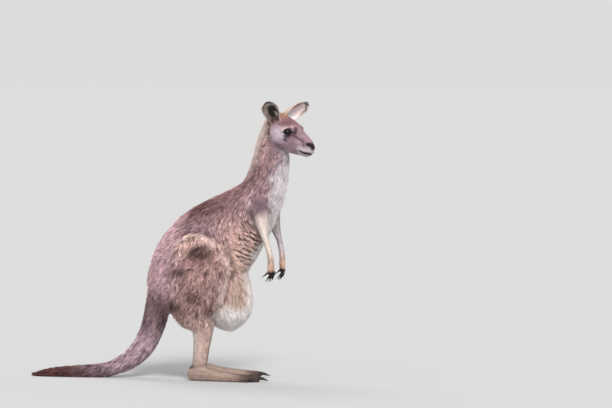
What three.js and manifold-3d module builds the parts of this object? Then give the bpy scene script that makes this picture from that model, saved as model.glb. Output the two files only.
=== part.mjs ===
// An adult female eastern grey kangaroo at life size, as a still museum model. She stands upright on
// the whole length of both hind feet and on her tail, with the forelegs hanging and the head turned a
// little to her right. Each part of the body is a solid of its own, parted from its neighbours by a
// thin cut. The forms are the outside of the coat, and the pouch hangs full but closed.
//
// Millimetres, +X forward, +Y to the animal's left, +Z up, the floor at Z = 0.
import * as THREE from "three";
import { mergeVertices } from "three/addons/utils/BufferGeometryUtils.js";
import Module from "manifold-3d";

const wasm = await Module();
wasm.setup();

// ---------------------------------------------------------------- driving dimensions
const GAP = 0.3; // the cut between two neighbouring parts
const BLOCK = 4000; // edge of the blocks that cut, larger than the animal
const DEGREE = Math.PI / 180;

const LEFT_AXIS = new THREE.Vector3(0, 1, 0);
const FORWARD_AXIS = new THREE.Vector3(1, 0, 0);
const UP_AXIS = new THREE.Vector3(0, 0, 1);

const SIDES = [
  { name: "left", sign: 1 },
  { name: "right", sign: -1 },
];

const COLOUR = {
  back: 0x9a7f78,
  belly: 0xc4aea4,
  face: 0xa9918c,
  tail: 0x8d767a,
  tailTip: 0x4a3c3b,
  limb: 0xb39c88,
  paw: 0x3d342f,
  ear: 0x9b8a80,
  claw: 0x16130f,
  eye: 0x120b08,
};

// ---------------------------------------------------------------- solids

const material = (color, roughness = 0.95) =>
  new THREE.MeshStandardMaterial({ color, roughness, metalness: 0 });

// A closed three.js geometry as a solid, with its shared vertices merged.
function solid(geometry) {
  const bare = geometry.clone();
  bare.deleteAttribute("normal");
  bare.deleteAttribute("uv");
  const merged = mergeVertices(bare, 1e-4);
  const mesh = new wasm.Mesh({
    numProp: 3,
    vertProperties: merged.attributes.position.array,
    triVerts: new Uint32Array(merged.index.array),
  });
  return new wasm.Manifold(mesh);
}

const unite = (...solids) => solids.reduce((all, one) => all.add(one));
const largest = (one) => one.decompose().reduce((a, b) => (a.volume() > b.volume() ? a : b));

// The half of space that lies ahead of a point in a direction.
function halfSpace(point, direction) {
  const block = new THREE.BoxGeometry(BLOCK, BLOCK, BLOCK).translate(0, 0, BLOCK / 2);
  const turn = new THREE.Quaternion().setFromUnitVectors(UP_AXIS, direction.clone().normalize());
  return solid(block.applyQuaternion(turn).translate(point.x, point.y, point.z));
}

// Parts a solid with one thin flat cut: [what lies behind the point, what lies ahead of it].
function cutAcross(one, x, y, z, direction) {
  const point = new THREE.Vector3(x, y, z);
  const step = direction.clone().normalize().multiplyScalar(GAP / 2);
  const behind = one.subtract(halfSpace(point.clone().sub(step), direction));
  const ahead = one.subtract(halfSpace(point.clone().add(step), direction.clone().negate()));
  return [largest(behind), largest(ahead)];
}

// ---------------------------------------------------------------- lofts

// One station of a form: its centre, half width, and half depth above and below the centre. A pinch
// above 0 narrows the upper half and widens the lower.
const ring = (x, y, z, wide, up, down = up, pinch = 0) => [x, y, z, wide, up, down, pinch];

// The numbers of a smooth line through the stations, at t stations from the first.
function along(stations, t) {
  const last = stations.length - 1;
  const i = Math.min(Math.floor(t), last - 1);
  const f = t - i;
  const at = (k) => stations[Math.max(0, Math.min(last, k))];
  return stations[0].map((_, n) => {
    const [a, b, c, d] = [i - 1, i, i + 1, i + 2].map((k) => at(k)[n]);
    const bend = (2 * a - 5 * b + 4 * c - d) * f * f + (3 * b - a - 3 * c + d) * f * f * f;
    return b + 0.5 * ((c - a) * f + bend);
  });
}

// A closed form through stations: rings square to its line, and a dome on each end. across is the
// direction of the rings' width, square is 2 for ellipses and more for boxier rings, domes gives the
// length of the first and last dome against the form's own half size, and grow adds to every size,
// which makes the cutter that leaves a gap.
function loft(stations, options) {
  const { sides, steps = 1, across = LEFT_AXIS, square = 2 } = options;
  const { domes = [1, 1], domeRings = 2, grow = 0 } = options;
  const points = [];
  const count = (stations.length - 1) * steps;
  const centre = (t) => new THREE.Vector3(...along(stations, t).slice(0, 3));
  const lobe = (v) => Math.sign(v) * Math.abs(v) ** (2 / square);

  const addRing = (t, scale, shift) => {
    const [, , , wide, up, down, pinch] = along(stations, t);
    const reach = 0.02;
    const ahead = Math.min(t + reach, stations.length - 1);
    const behind = Math.max(t - reach, 0);
    const tangent = centre(ahead).sub(centre(behind)).normalize();
    const deep = tangent.clone().cross(across).normalize();
    const width = deep.clone().cross(tangent);
    const middle = centre(t).addScaledVector(tangent, shift);
    if (scale === 0) return points.push(middle);
    for (let k = 0; k < sides; k++) {
      const angle = (2 * Math.PI * k) / sides;
      const c = lobe(Math.cos(angle));
      const s = lobe(Math.sin(angle));
      const half = s > 0 ? up : down;
      const x = (wide + grow) * c * (1 - pinch * s) * scale;
      const y = (half + grow) * s * scale;
      points.push(middle.clone().addScaledVector(width, x).addScaledVector(deep, y));
    }
  };

  // A dome's rings, from its tip (or the ring itself) to the form's first or last ring.
  const dome = (t, length, outward) => {
    const rings = [];
    for (let k = 0; k <= domeRings; k++) {
      const angle = (Math.PI / 2) * (1 - k / (domeRings + 1));
      rings.push([t, k === 0 ? 0 : Math.cos(angle), outward * length * Math.sin(angle)]);
    }
    return rings;
  };
  const endSize = (t) => {
    const [, , , wide, up, down] = along(stations, t);
    return (wide + up + down) / 3 + grow;
  };
  const lastT = stations.length - 1;
  const first = dome(0, endSize(0) * domes[0] + grow, -1);
  const last = dome(lastT, endSize(lastT) * domes[1] + grow, 1).reverse();
  const body = [];
  for (let i = 0; i <= count; i++) body.push([i / steps, 1, 0]);
  const rings = [...first, ...body, ...last];
  rings.forEach(([t, scale, shift]) => addRing(t, scale, shift));

  const faces = [];
  const full = rings.length - 2; // rings with sides, between the two tips
  const vertex = (i, k) => 1 + i * sides + (k % sides);
  const tip = points.length - 1;
  for (let k = 0; k < sides; k++) {
    faces.push(0, vertex(0, k + 1), vertex(0, k));
    faces.push(tip, vertex(full - 1, k), vertex(full - 1, k + 1));
    for (let i = 0; i < full - 1; i++) {
      const [a, b, c, d] = [vertex(i, k), vertex(i, k + 1), vertex(i + 1, k), vertex(i + 1, k + 1)];
      faces.push(a, b, c, b, d, c);
    }
  }
  const geometry = new THREE.BufferGeometry().setFromPoints(points);
  geometry.setIndex(faces);
  return solid(geometry);
}

// A ball drawn out to three half sizes, at a place.
function ball(x, y, z, long, wide, high, sides = 16) {
  const geometry = new THREE.SphereGeometry(1, sides, Math.round(sides * 0.6));
  return solid(geometry.scale(long, wide, high).translate(x, y, z));
}

// ---------------------------------------------------------------- nodes

const kangaroo = new THREE.Group();

function addNode(name, one, color, roughness) {
  const whole = largest(one);
  const mesh = whole.getMesh();
  const geometry = new THREE.BufferGeometry();
  geometry.setAttribute("position", new THREE.BufferAttribute(mesh.vertProperties, 3));
  geometry.setIndex(new THREE.BufferAttribute(mesh.triVerts, 1));
  geometry.computeVertexNormals();
  const node = new THREE.Mesh(geometry, material(color, roughness));
  node.name = name;
  kangaroo.add(node);
}

// ---------------------------------------------------------------- trunk and neck

// From the rump under the tail, up the spine and neck, into the skull.
const TRUNK_AND_NECK = [
  ring(-42, 0, 283, 62, 56),
  ring(-24, 0, 309, 96, 103),
  ring(-3, 0, 331, 109, 128),
  ring(21, 0, 354, 120, 148),
  ring(73, 0, 409, 128, 172, 165, 0.05),
  ring(123, 0, 469, 126, 175, 166, 0.08),
  ring(175, 0, 531, 117, 162, 164, 0.1),
  ring(231, 0, 587, 104, 135, 152, 0.1),
  ring(289, 0, 643, 90, 106, 122, 0.1),
  ring(340, 0, 708, 76, 79, 97, 0.06),
  ring(371, 0, 779, 60, 73, 77),
  ring(383, 0, 840, 50, 67),
  ring(385, 0, 888, 48, 60),
  ring(385, 0, 931, 43, 48),
];
const NECK_BASE = { x: 362, z: 752, direction: new THREE.Vector3(0.36, 0, 0.93) };
const HEAD_JOIN = { x: 396, z: 898, direction: new THREE.Vector3(0.67, 0, 0.74) };
const TORSO = { sides: 20, domes: [0.5, 0.5], domeRings: 1 };
const torso = loft(TRUNK_AND_NECK, TORSO);

// ---------------------------------------------------------------- tail

// From inside the rump to the tip, which lies on the floor and bends a little to the right.
const TAIL = [
  ring(-30, 0, 345, 66, 72),
  ring(-57, 0, 285, 53, 53),
  ring(-80, -1, 207, 43, 51, 42),
  ring(-108, -3, 139, 39, 50, 41),
  ring(-157, -8, 78, 34, 42, 36),
  ring(-236, -17, 35, 28, 29, 28),
  ring(-324, -26, 24.5, 25, 25),
  ring(-417, -31, 20.5, 21, 21.5),
  ring(-488, -31, 15, 16, 16),
  ring(-538, -28, 8, 7.5, 8),
];
const TAIL_CUTS = [
  { x: -71, z: 240, direction: new THREE.Vector3(-0.3, 0, -0.95) },
  { x: -158, z: 78, direction: new THREE.Vector3(-0.75, 0, -0.66) },
  { x: -370, z: 22, direction: new THREE.Vector3(-1, 0, -0.04) },
];
const tail = loft(TAIL, { sides: 12, steps: 2, domeRings: 1 });

// ---------------------------------------------------------------- pouch

// A full bag that hangs from the belly between the thighs.
const POUCH = [
  ring(205, 0, 430, 72, 66),
  ring(212, 0, 372, 86, 88),
  ring(214, 0, 305, 90, 101),
  ring(208, 0, 246, 80, 90, 94),
  ring(194, 0, 209, 52, 58, 62),
];
const pouch = loft(POUCH, { sides: 18, domes: [0.6, 0.4] });

// ---------------------------------------------------------------- hind legs

// How far each leg stands ahead of where it is drawn: the left one is a little behind.
const STANCE = { left: -30, right: 0 };
const HIND_LEG = [
  ring(134, 74, 526, 46, 92, 68),
  ring(118, 85, 494, 58, 121, 102),
  ring(106, 91, 444, 66, 122, 117),
  ring(102, 93, 385, 69, 121, 118),
  ring(102, 92, 325, 65, 114, 117),
  ring(106, 90, 272, 57, 92, 102),
  ring(117, 87, 232, 45, 64, 76),
  ring(132, 84, 198, 33, 41, 43),
  ring(131, 82, 160, 28, 33, 35),
  ring(123, 81, 107, 24, 29),
  ring(117, 80, 60, 22, 27),
];
const KNEE_CUT = { x: 128, z: 210, direction: new THREE.Vector3(0.1, 0, -1) };
const ANKLE_CUT = { x: 118, z: 72, direction: new THREE.Vector3(0.1, 0, -1) };

// Heel to ball of the foot, then the great fourth toe. The undersides are cut flat by the floor.
const FOOT = [
  ring(93, 80, 25, 17, 24, 26),
  ring(112, 80, 28, 22, 34, 30),
  ring(140, 81, 25, 24, 26, 27),
  ring(190, 83, 20, 24, 18, 22),
  ring(240, 85, 17, 25, 15, 19),
  ring(280, 87, 15, 24, 13, 17),
  ring(312, 88, 13, 16, 13, 15),
  ring(340, 89, 12, 13, 12, 14),
];
const OUTER_TOE = [
  ring(250, 103, 13, 9, 11, 14),
  ring(290, 110, 12, 8.5, 10, 13),
  ring(312, 112, 11, 7.5, 9, 12),
];
const INNER_TOE = [
  ring(236, 67, 14, 7, 9, 14),
  ring(280, 64, 12, 7, 8, 13),
  ring(310, 64, 10, 6.5, 7, 11),
];
const FOOT_CLAWS = [
  { name: "fourth", x: 352, y: 89, z: 15, radius: 8, length: 42, drop: 9 },
  { name: "fifth", x: 316, y: 112, z: 12, radius: 5, length: 24, drop: 6 },
  { name: "third", x: 313, y: 67.4, z: 10, radius: 2.9, length: 17, drop: 4 },
  { name: "second", x: 313, y: 60.6, z: 10, radius: 2.9, length: 17, drop: 4 },
];

// Moves drawn stations to one side of the body, and forward.
const place = (stations, sign, forward = 0) =>
  stations.map(([x, y, ...rest]) => [x + forward, y * sign, ...rest]);

const hindLeg = (sign, forward, grow = 0) =>
  loft(place(HIND_LEG, sign, forward), { sides: 16, domeRings: 1, grow });

// A curved claw: it leaves its root along one direction and bends towards another.
function claw(root, direction, bend, radius, length, grow = 0) {
  const STATIONS = 2;
  const stations = [];
  for (let i = 0; i <= STATIONS; i++) {
    const f = i / STATIONS;
    const p = root.clone().addScaledVector(direction, (f - 0.2) * length).addScaledVector(bend, f * f);
    const r = radius * (1 - 0.85 * f ** 1.4);
    stations.push(ring(p.x, p.y, p.z, r * 0.8, r));
  }
  const across = direction.clone().cross(bend).normalize();
  return loft(stations, { sides: 5, across, domes: [0.6, 1.5], domeRings: 0, grow });
}

function addHindLeg({ name, sign }) {
  const forward = STANCE[name];
  const shiftX = (x) => x + forward;
  const floor = halfSpace(new THREE.Vector3(), UP_AXIS.clone().negate());
  const leg = hindLeg(sign, forward);
  const sole = loft(place(FOOT, sign, forward), { sides: 10, square: 2.4, domeRings: 1 });
  const toeForm = (toe) => loft(place(toe, sign, forward), { sides: 6, domeRings: 1 });
  const toes = [OUTER_TOE, INNER_TOE].map(toeForm);
  const [thigh, lower] = cutAcross(leg, shiftX(KNEE_CUT.x), 0, KNEE_CUT.z, KNEE_CUT.direction);
  const whole = unite(lower, sole, ...toes).subtract(floor);
  const [shank, foot] = cutAcross(whole, shiftX(ANKLE_CUT.x), 0, ANKLE_CUT.z, ANKLE_CUT.direction);
  const makeClaw = ({ x, y, z, radius, length, drop }, grow) => {
    const root = new THREE.Vector3(shiftX(x), y * sign, z);
    return claw(root, FORWARD_AXIS, new THREE.Vector3(0, 0, -drop), radius, length, grow);
  };
  addNode(`thigh_${name}`, thigh, COLOUR.back);
  addNode(`shank_${name}`, shank, COLOUR.limb);
  const cutters = FOOT_CLAWS.map((one) => makeClaw(one, GAP));
  addNode(`foot_${name}`, cutters.reduce((a, b) => a.subtract(b), foot), COLOUR.limb);
  FOOT_CLAWS.forEach((one) => {
    addNode(`claw_${one.name}_toe_${name}`, makeClaw(one, 0), COLOUR.claw, 0.35);
  });
}

// ---------------------------------------------------------------- forelegs

// How far each foreleg hangs ahead of where it is drawn.
const REACH = { left: 14, right: 0 };
const FORELEG = [
  ring(338, 46, 706, 32, 42),
  ring(346, 60, 655, 33, 40),
  ring(356, 78, 600, 26, 29, 26),
  ring(368, 85, 556, 19, 17),
  ring(378, 85, 526, 14, 12),
  ring(387, 81, 492, 12.5, 12),
  ring(392, 76, 460, 12, 12.5),
  ring(392, 74, 436, 11.5, 13),
];
const ELBOW_CUT = { x: 364, z: 556, direction: new THREE.Vector3(0.2, 0, -1) };
const WRIST_CUT = { x: 392, z: 443, direction: new THREE.Vector3(0, 0, -1) };

// A paw hangs from its wrist with the palm turned back and inwards. Its five fingers fan out from
// the thumb, in front, to the little finger, behind, and curl towards the palm.
const PAW = {
  turn: 42 * DEGREE, // of the back of the paw, from straight ahead to the outer side
  wristZ: 444,
  knuckleZ: 409,
  angles: [-34, -13, -1, 11, 36],
  starts: [-13, -9, -2, 5, 12],
  drops: [10, 0, 0, 0, 8],
  lengths: [15, 20, 22, 20, 16],
  radius: 4.6,
  curl: 0.55,
};
const FINGER_CLAW = { radius: 3.4, length: 19, curl: 0.6 };
const TIP_BEND = 0.6; // how much of a finger's or claw's curl its tip shows

const foreleg = (sign, forward, grow = 0) =>
  loft(place(FORELEG, sign, forward), { sides: 10, domeRings: 1, grow });

// The palm, the five fingers and what their claws need, for one side.
function paw(sign, forward) {
  const back = new THREE.Vector3(Math.cos(PAW.turn), Math.sin(PAW.turn) * sign, 0);
  const outward = new THREE.Vector3(-Math.sin(PAW.turn), Math.cos(PAW.turn) * sign, 0);
  const down = new THREE.Vector3(0, 0, -1);
  const wrist = new THREE.Vector3(392 + forward, 74 * sign, 0);
  const palmRing = (z, offset, wide, thick) => {
    const p = wrist.clone().addScaledVector(back, offset);
    return ring(p.x, p.y, z, wide, thick);
  };
  const palm = loft(
    [
      palmRing(PAW.wristZ + 4, 0, 12, 11),
      palmRing((PAW.wristZ + PAW.knuckleZ) / 2, 1, 16.5, 10),
      palmRing(PAW.knuckleZ - 1, -1, 16, 7.5),
    ],
    { sides: 8, across: outward, domes: [0.5, 0.5], domeRings: 0 },
  );
  const fingers = PAW.angles.map((degrees, i) => {
    const angle = degrees * DEGREE;
    const straight = down.clone().multiplyScalar(Math.cos(angle));
    straight.addScaledVector(outward, Math.sin(angle));
    const knuckle = wrist.clone().addScaledVector(outward, PAW.starts[i]);
    knuckle.z = PAW.knuckleZ + PAW.drops[i];
    const length = PAW.lengths[i];
    const middle = knuckle.clone().addScaledVector(straight, length * 0.55);
    const tip = knuckle.clone().addScaledVector(straight, length);
    tip.addScaledVector(back, -length * PAW.curl * TIP_BEND);
    const direction = straight.clone().addScaledVector(back, -PAW.curl).normalize();
    const width = (n) => PAW.radius * (1 - 0.08 * n);
    const stations = [knuckle, middle, tip].map((p, n) => ring(p.x, p.y, p.z, width(n), PAW.radius));
    return { solid: loft(stations, { sides: 5, across: outward, domeRings: 0 }), tip, direction };
  });
  const claws = (grow) =>
    fingers.map(({ tip, direction }) => {
      const bend = back.clone().multiplyScalar(-FINGER_CLAW.length * FINGER_CLAW.curl * TIP_BEND);
      return claw(tip, direction, bend, FINGER_CLAW.radius, FINGER_CLAW.length, grow);
    });
  return { flesh: unite(palm, ...fingers.map((finger) => finger.solid)), claws };
}

function addForeleg({ name, sign }) {
  const forward = REACH[name];
  const { flesh, claws } = paw(sign, forward);
  const arm = foreleg(sign, forward);
  const [upper, lower] = cutAcross(arm, ELBOW_CUT.x + forward, 0, ELBOW_CUT.z, ELBOW_CUT.direction);
  const whole = unite(lower, flesh);
  const [forearm, hand] = cutAcross(whole, WRIST_CUT.x + forward, 0, WRIST_CUT.z, WRIST_CUT.direction);
  addNode(`upper_arm_${name}`, upper, COLOUR.back);
  addNode(`forearm_${name}`, forearm, COLOUR.limb);
  addNode(`hand_${name}`, claws(GAP).reduce((a, b) => a.subtract(b), hand), COLOUR.paw);
  claws(0).forEach((one, i) => addNode(`claw_finger_${i + 1}_${name}`, one, COLOUR.claw, 0.35));
}

// ---------------------------------------------------------------- head

// The head is drawn along its own axis, nose forward, and then turned and set on the neck.
const HEAD = {
  at: new THREE.Vector3(386, 0, 954),
  turn: new THREE.Euler(0, 25 * DEGREE, -13 * DEGREE, "ZYX"),
};
const SKULL = [
  ring(-16, 0, 4, 39, 38, 39),
  ring(2, 0, 4, 49, 52, 55, 0.05),
  ring(20, 0, 0, 55, 61, 63, 0.08),
  ring(45, 0, 0, 57, 61, 67, 0.04),
  ring(70, 0, -2, 53, 61, 64, 0.06),
  ring(93, 0, -6, 43, 57, 56, 0.12),
  ring(116, 0, -10, 35, 52, 46, 0.16),
  ring(141, 0, -12, 30, 47, 37, 0.18),
  ring(163, 0, -12, 27, 40, 31, 0.16),
  ring(176, 0, -12, 22, 29, 26, 0.1),
];
const EYE = { x: 75, y: 39, z: 17, radius: 14.5 };
const BROW = { x: 78, y: 31, z: 36, long: 26, wide: 15, high: 14 };
const WHISKER_PAD = { x: 154, y: 15, z: -20, long: 24, wide: 15, high: 16 };
const CHIN = { x: 158, y: 0, z: -36, long: 24, wide: 16, high: 12 };

// Each ear is a scooped leaf that opens from a rolled root. Its axis runs from the middle of the
// root to the tip, and it opens one way; both are given in the head's own frame.
const EAR = {
  length: 115,
  bow: 9, // of the back, out from a straight line
  thickness: 5,
  rimThickness: 2.2,
  root: { x: 10, y: 38, z: 34 },
  rows: 8,
  columns: 6,
};
// Along the ear: half width of the leaf if it lay flat, and the half angle through which it curls.
const EAR_OUTLINE = [
  [41, 128],
  [43, 114],
  [43, 98],
  [42, 82],
  [40, 68],
  [37, 57],
  [29, 49],
  [11, 42],
];
const EAR_POSE = {
  left: {
    axis: new THREE.Vector3(0.41, 0.42, 0.81),
    opening: new THREE.Vector3(0.6, -0.45, -0.2),
  },
  right: {
    axis: new THREE.Vector3(-0.2, -0.768, 0.6),
    opening: new THREE.Vector3(0.716, -0.548, -0.43),
  },
};

function earSolid(name, sign) {
  const axis = EAR_POSE[name].axis.clone().normalize();
  const across = EAR_POSE[name].opening.clone().cross(axis).normalize();
  const opening = axis.clone().cross(across);
  const root = new THREE.Vector3(EAR.root.x, EAR.root.y * sign, EAR.root.z);
  const rootRadius = EAR_OUTLINE[0][0] / (EAR_OUTLINE[0][1] * DEGREE);
  const sheet = (facing) => {
    const rows = [];
    for (let i = 0; i <= EAR.rows; i++) {
      const s = Math.sin((Math.PI / 2) * (i / EAR.rows)) * 0.6 + 0.4 * (i / EAR.rows);
      const [half, curl] = along(EAR_OUTLINE, s * (EAR_OUTLINE.length - 1));
      const radius = half / (curl * DEGREE);
      for (let k = 0; k <= EAR.columns; k++) {
        const t = (2 * k) / EAR.columns - 1;
        const angle = t * curl * DEGREE;
        const rim = Math.max(Math.abs(t), s) ** 3;
        const depth = (facing / 2) * (EAR.thickness + (EAR.rimThickness - EAR.thickness) * rim);
        const reach = radius - depth;
        const p = root.clone().addScaledVector(axis, s * EAR.length);
        p.addScaledVector(across, reach * Math.sin(angle));
        const backLine = -rootRadius * (1 - s) - EAR.bow * 4 * s * (1 - s);
        p.addScaledVector(opening, backLine + radius - reach * Math.cos(angle));
        rows.push(p);
      }
    }
    return rows;
  };
  const points = [...sheet(1), ...sheet(-1)];
  const row = EAR.columns + 1;
  const back = row * (EAR.rows + 1);
  const faces = [];
  const quad = (a, b, c, d) => faces.push(a, c, b, a, d, c);
  for (let i = 0; i < EAR.rows; i++) {
    for (let k = 0; k < EAR.columns; k++) {
      const a = i * row + k;
      quad(a, a + 1, a + row + 1, a + row);
      quad(back + a, back + a + row, back + a + row + 1, back + a + 1);
    }
    const [start, end] = [i * row, i * row + EAR.columns];
    quad(start, start + row, back + start + row, back + start);
    quad(end + row, end, back + end, back + end + row);
  }
  for (let k = 0; k < EAR.columns; k++) {
    const top = EAR.rows * row + k;
    quad(k + 1, k, back + k, back + k + 1);
    quad(top, top + 1, back + top + 1, back + top);
  }
  const geometry = new THREE.BufferGeometry().setFromPoints(points);
  geometry.setIndex(faces);
  return solid(geometry);
}

const skullForms = (grow) => {
  const pairs = [BROW, WHISKER_PAD].flatMap(({ x, y, z, long, wide, high }) =>
    SIDES.map(({ sign }) => ball(x, y * sign, z, long + grow, wide + grow, high + grow, 10)),
  );
  const chin = ball(CHIN.x, CHIN.y, CHIN.z, CHIN.long + grow, CHIN.wide + grow, CHIN.high + grow, 10);
  return unite(loft(SKULL, { sides: 20, domes: [0.5, 0.5], grow }), ...pairs, chin);
};

// From the head's own frame to the animal's.
const headMatrix = new THREE.Matrix4().compose(
  HEAD.at,
  new THREE.Quaternion().setFromEuler(HEAD.turn),
  new THREE.Vector3(1, 1, 1),
);
const setOnNeck = (one) => one.transform(headMatrix.elements);

function addHead(neckAndTrunk) {
  const skull = setOnNeck(skullForms(0));
  const sockets = SIDES.map(({ sign }) =>
    setOnNeck(ball(EYE.x, EYE.y * sign, EYE.z, ...Array(3).fill(EYE.radius + GAP), 10)),
  );
  const flesh = unite(neckAndTrunk, skull);
  const [below, head] = cutAcross(flesh, HEAD_JOIN.x, 0, HEAD_JOIN.z, HEAD_JOIN.direction);
  addNode("head", sockets.reduce((a, b) => a.subtract(b), head), COLOUR.face);
  const cutter = setOnNeck(skullForms(GAP));
  SIDES.forEach(({ name, sign }) => {
    addNode(`ear_${name}`, setOnNeck(earSolid(name, sign)).subtract(cutter), COLOUR.ear);
    const eye = ball(EYE.x, EYE.y * sign, EYE.z, ...Array(3).fill(EYE.radius), 10);
    addNode(`eye_${name}`, setOnNeck(eye), COLOUR.eye, 0.05);
  });
  return below;
}

// ---------------------------------------------------------------- the whole animal

SIDES.forEach(addHindLeg);
SIDES.forEach(addForeleg);

const floor = halfSpace(new THREE.Vector3(), UP_AXIS.clone().negate());
const limbs = SIDES.flatMap(({ name, sign }) => [
  hindLeg(sign, STANCE[name], GAP),
  foreleg(sign, REACH[name], GAP),
]);
const fleshWithTail = addHead(unite(torso, tail)).subtract(floor);
const bare = limbs.reduce((a, b) => a.subtract(b), fleshWithTail);

const cutAt = (one, { x, z, direction }) => cutAcross(one, x, 0, z, direction);
const [body, wholeTail] = cutAt(bare, TAIL_CUTS[0]);
const [tailRoot, restOfTail] = cutAt(wholeTail, TAIL_CUTS[1]);
const [tailMiddle, tailTip] = cutAt(restOfTail, TAIL_CUTS[2]);
const [trunk, neck] = cutAt(body, NECK_BASE);
const trunkCutter = loft(TRUNK_AND_NECK, { ...TORSO, grow: GAP });
const hanging = limbs.reduce((a, b) => a.subtract(b), pouch.subtract(trunkCutter));

addNode("trunk", trunk, COLOUR.back);
addNode("pouch", hanging, COLOUR.belly);
addNode("neck", neck, COLOUR.back);
addNode("tail_root", tailRoot, COLOUR.tail);
addNode("tail_middle", tailMiddle, COLOUR.tail);
addNode("tail_tip", tailTip, COLOUR.tailTip);

// The origin is on the floor, under the middle of the animal's box.
const box = new THREE.Box3().setFromObject(kangaroo);
const middle = box.getCenter(new THREE.Vector3());
kangaroo.position.set(-middle.x, -middle.y, -box.min.z);

export default kangaroo;
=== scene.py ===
# An adult female eastern grey kangaroo, as a still museum model: one skin over the whole body, its
# coat in tufts that lie along it, glass eyes and black claws. Metres, in the frame of the solids:
# +X forward, +Y to the animal's left, +Z up, the floor at Z = 0.
import math

import bmesh
import bpy
import numpy as np
from mathutils import Euler, Matrix, Vector
from mathutils.bvhtree import BVHTree
from mathutils.kdtree import KDTree


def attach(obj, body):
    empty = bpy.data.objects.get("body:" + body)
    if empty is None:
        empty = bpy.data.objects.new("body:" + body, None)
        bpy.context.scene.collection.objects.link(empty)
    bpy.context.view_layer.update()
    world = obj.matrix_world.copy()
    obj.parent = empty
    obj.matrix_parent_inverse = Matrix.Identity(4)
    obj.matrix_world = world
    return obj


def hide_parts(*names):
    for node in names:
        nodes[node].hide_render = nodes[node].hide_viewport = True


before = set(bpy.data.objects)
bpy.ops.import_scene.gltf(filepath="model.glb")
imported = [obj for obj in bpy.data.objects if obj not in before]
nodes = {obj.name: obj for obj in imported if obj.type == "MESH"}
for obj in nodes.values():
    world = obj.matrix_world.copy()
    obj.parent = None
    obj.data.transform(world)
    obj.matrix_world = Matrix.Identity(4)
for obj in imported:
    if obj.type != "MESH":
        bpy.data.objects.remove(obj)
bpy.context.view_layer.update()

# ---------------------------------------------------------------- camera
# A long lens thirteen metres off, a little in front of the animal's right side and a little above
# its head, looking down by three degrees.
AZIMUTH, ELEVATION = math.radians(11), math.radians(3)
DISTANCE = 13.0
FIELD_WIDTH = 2.3256  # what the lens takes in at the animal
LOOK_AT_RIGHT, LOOK_AT_UP = 0.499, 0.661  # the middle of the view

away = Vector(
    (
        math.sin(AZIMUTH) * math.cos(ELEVATION),
        -math.cos(AZIMUTH) * math.cos(ELEVATION),
        math.sin(ELEVATION),
    )
)
right = Vector((math.cos(AZIMUTH), math.sin(AZIMUTH), 0))
up = away.cross(right)
camera_data = bpy.data.cameras.new("camera")
camera_data.lens = camera_data.sensor_width * DISTANCE / FIELD_WIDTH
camera_data.clip_end = 100
camera = bpy.data.objects.new("camera", camera_data)
camera.matrix_world = Matrix.Translation(
    right * LOOK_AT_RIGHT + up * LOOK_AT_UP + away * DISTANCE
) @ Matrix((right, up, away)).transposed().to_4x4()
bpy.context.scene.collection.objects.link(camera)
bpy.context.scene.camera = camera
bpy.context.scene.view_settings.view_transform = "Standard"

# ---------------------------------------------------------------- floor and light
# A plain pale studio: a wide matt floor under an even pale sky, with two broad soft lamps so far off
# that the floor is lit alike all over and runs into the sky. The key stands high on the camera's
# side towards the head, and the other lights the back from behind.
FLOOR_COLOUR, SKY_SHADE = (0.437, 0.439, 0.444, 1), 0.72
FLOOR_EDGE = 60.0
LAMPS = (  # where each stands, its power over the floor, its softness and its colour
    ("key", (0.45, -0.85, 0.95), 3.2, 20, (1.0, 0.985, 0.96)),
    ("rim", (-0.50, 0.60, 1.00), 0.95, 30, (1.0, 0.99, 0.97)),
)


def material_of(name):
    """A node material, its tree and its Principled shader."""
    material = bpy.data.materials.new(name)
    material.use_nodes = True
    tree = material.node_tree
    return material, tree, tree.nodes["Principled BSDF"]


def link_object(name, mesh, material):
    """A new smooth-shaded object in the scene."""
    piece = bpy.data.objects.new(name, mesh)
    bpy.context.scene.collection.objects.link(piece)
    mesh.materials.append(material)
    mesh.polygons.foreach_set("use_smooth", np.ones(len(mesh.polygons), bool))
    return piece


floor_material, tree, shader = material_of("studio_floor")
shader.inputs["Base Color"].default_value = FLOOR_COLOUR
shader.inputs["Roughness"].default_value = 1.0
shader.inputs["Specular IOR Level"].default_value = 0.0
floor_mesh = bpy.data.meshes.new("floor")
floor_mesh.from_pydata(
    [(x * FLOOR_EDGE, y * FLOOR_EDGE, 0) for x, y in ((-1, -1), (1, -1), (1, 1), (-1, 1))],
    [],
    [(0, 1, 2, 3)],
)
link_object("floor", floor_mesh, floor_material)

world = bpy.data.worlds.new("studio")
world.use_nodes = True
world.node_tree.nodes["Background"].inputs["Color"].default_value = (SKY_SHADE, SKY_SHADE, SKY_SHADE, 1)
bpy.context.scene.world = world

for name, place, strength, softness, colour in LAMPS:
    lamp = bpy.data.lights.new(name, "SUN")
    lamp.energy = strength
    lamp.angle = math.radians(softness)
    lamp.color = colour
    lamp_object = bpy.data.objects.new(name, lamp)
    lamp_object.rotation_euler = Vector(place).to_track_quat("Z", "Y").to_euler()
    bpy.context.scene.collection.objects.link(lamp_object)

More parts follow.
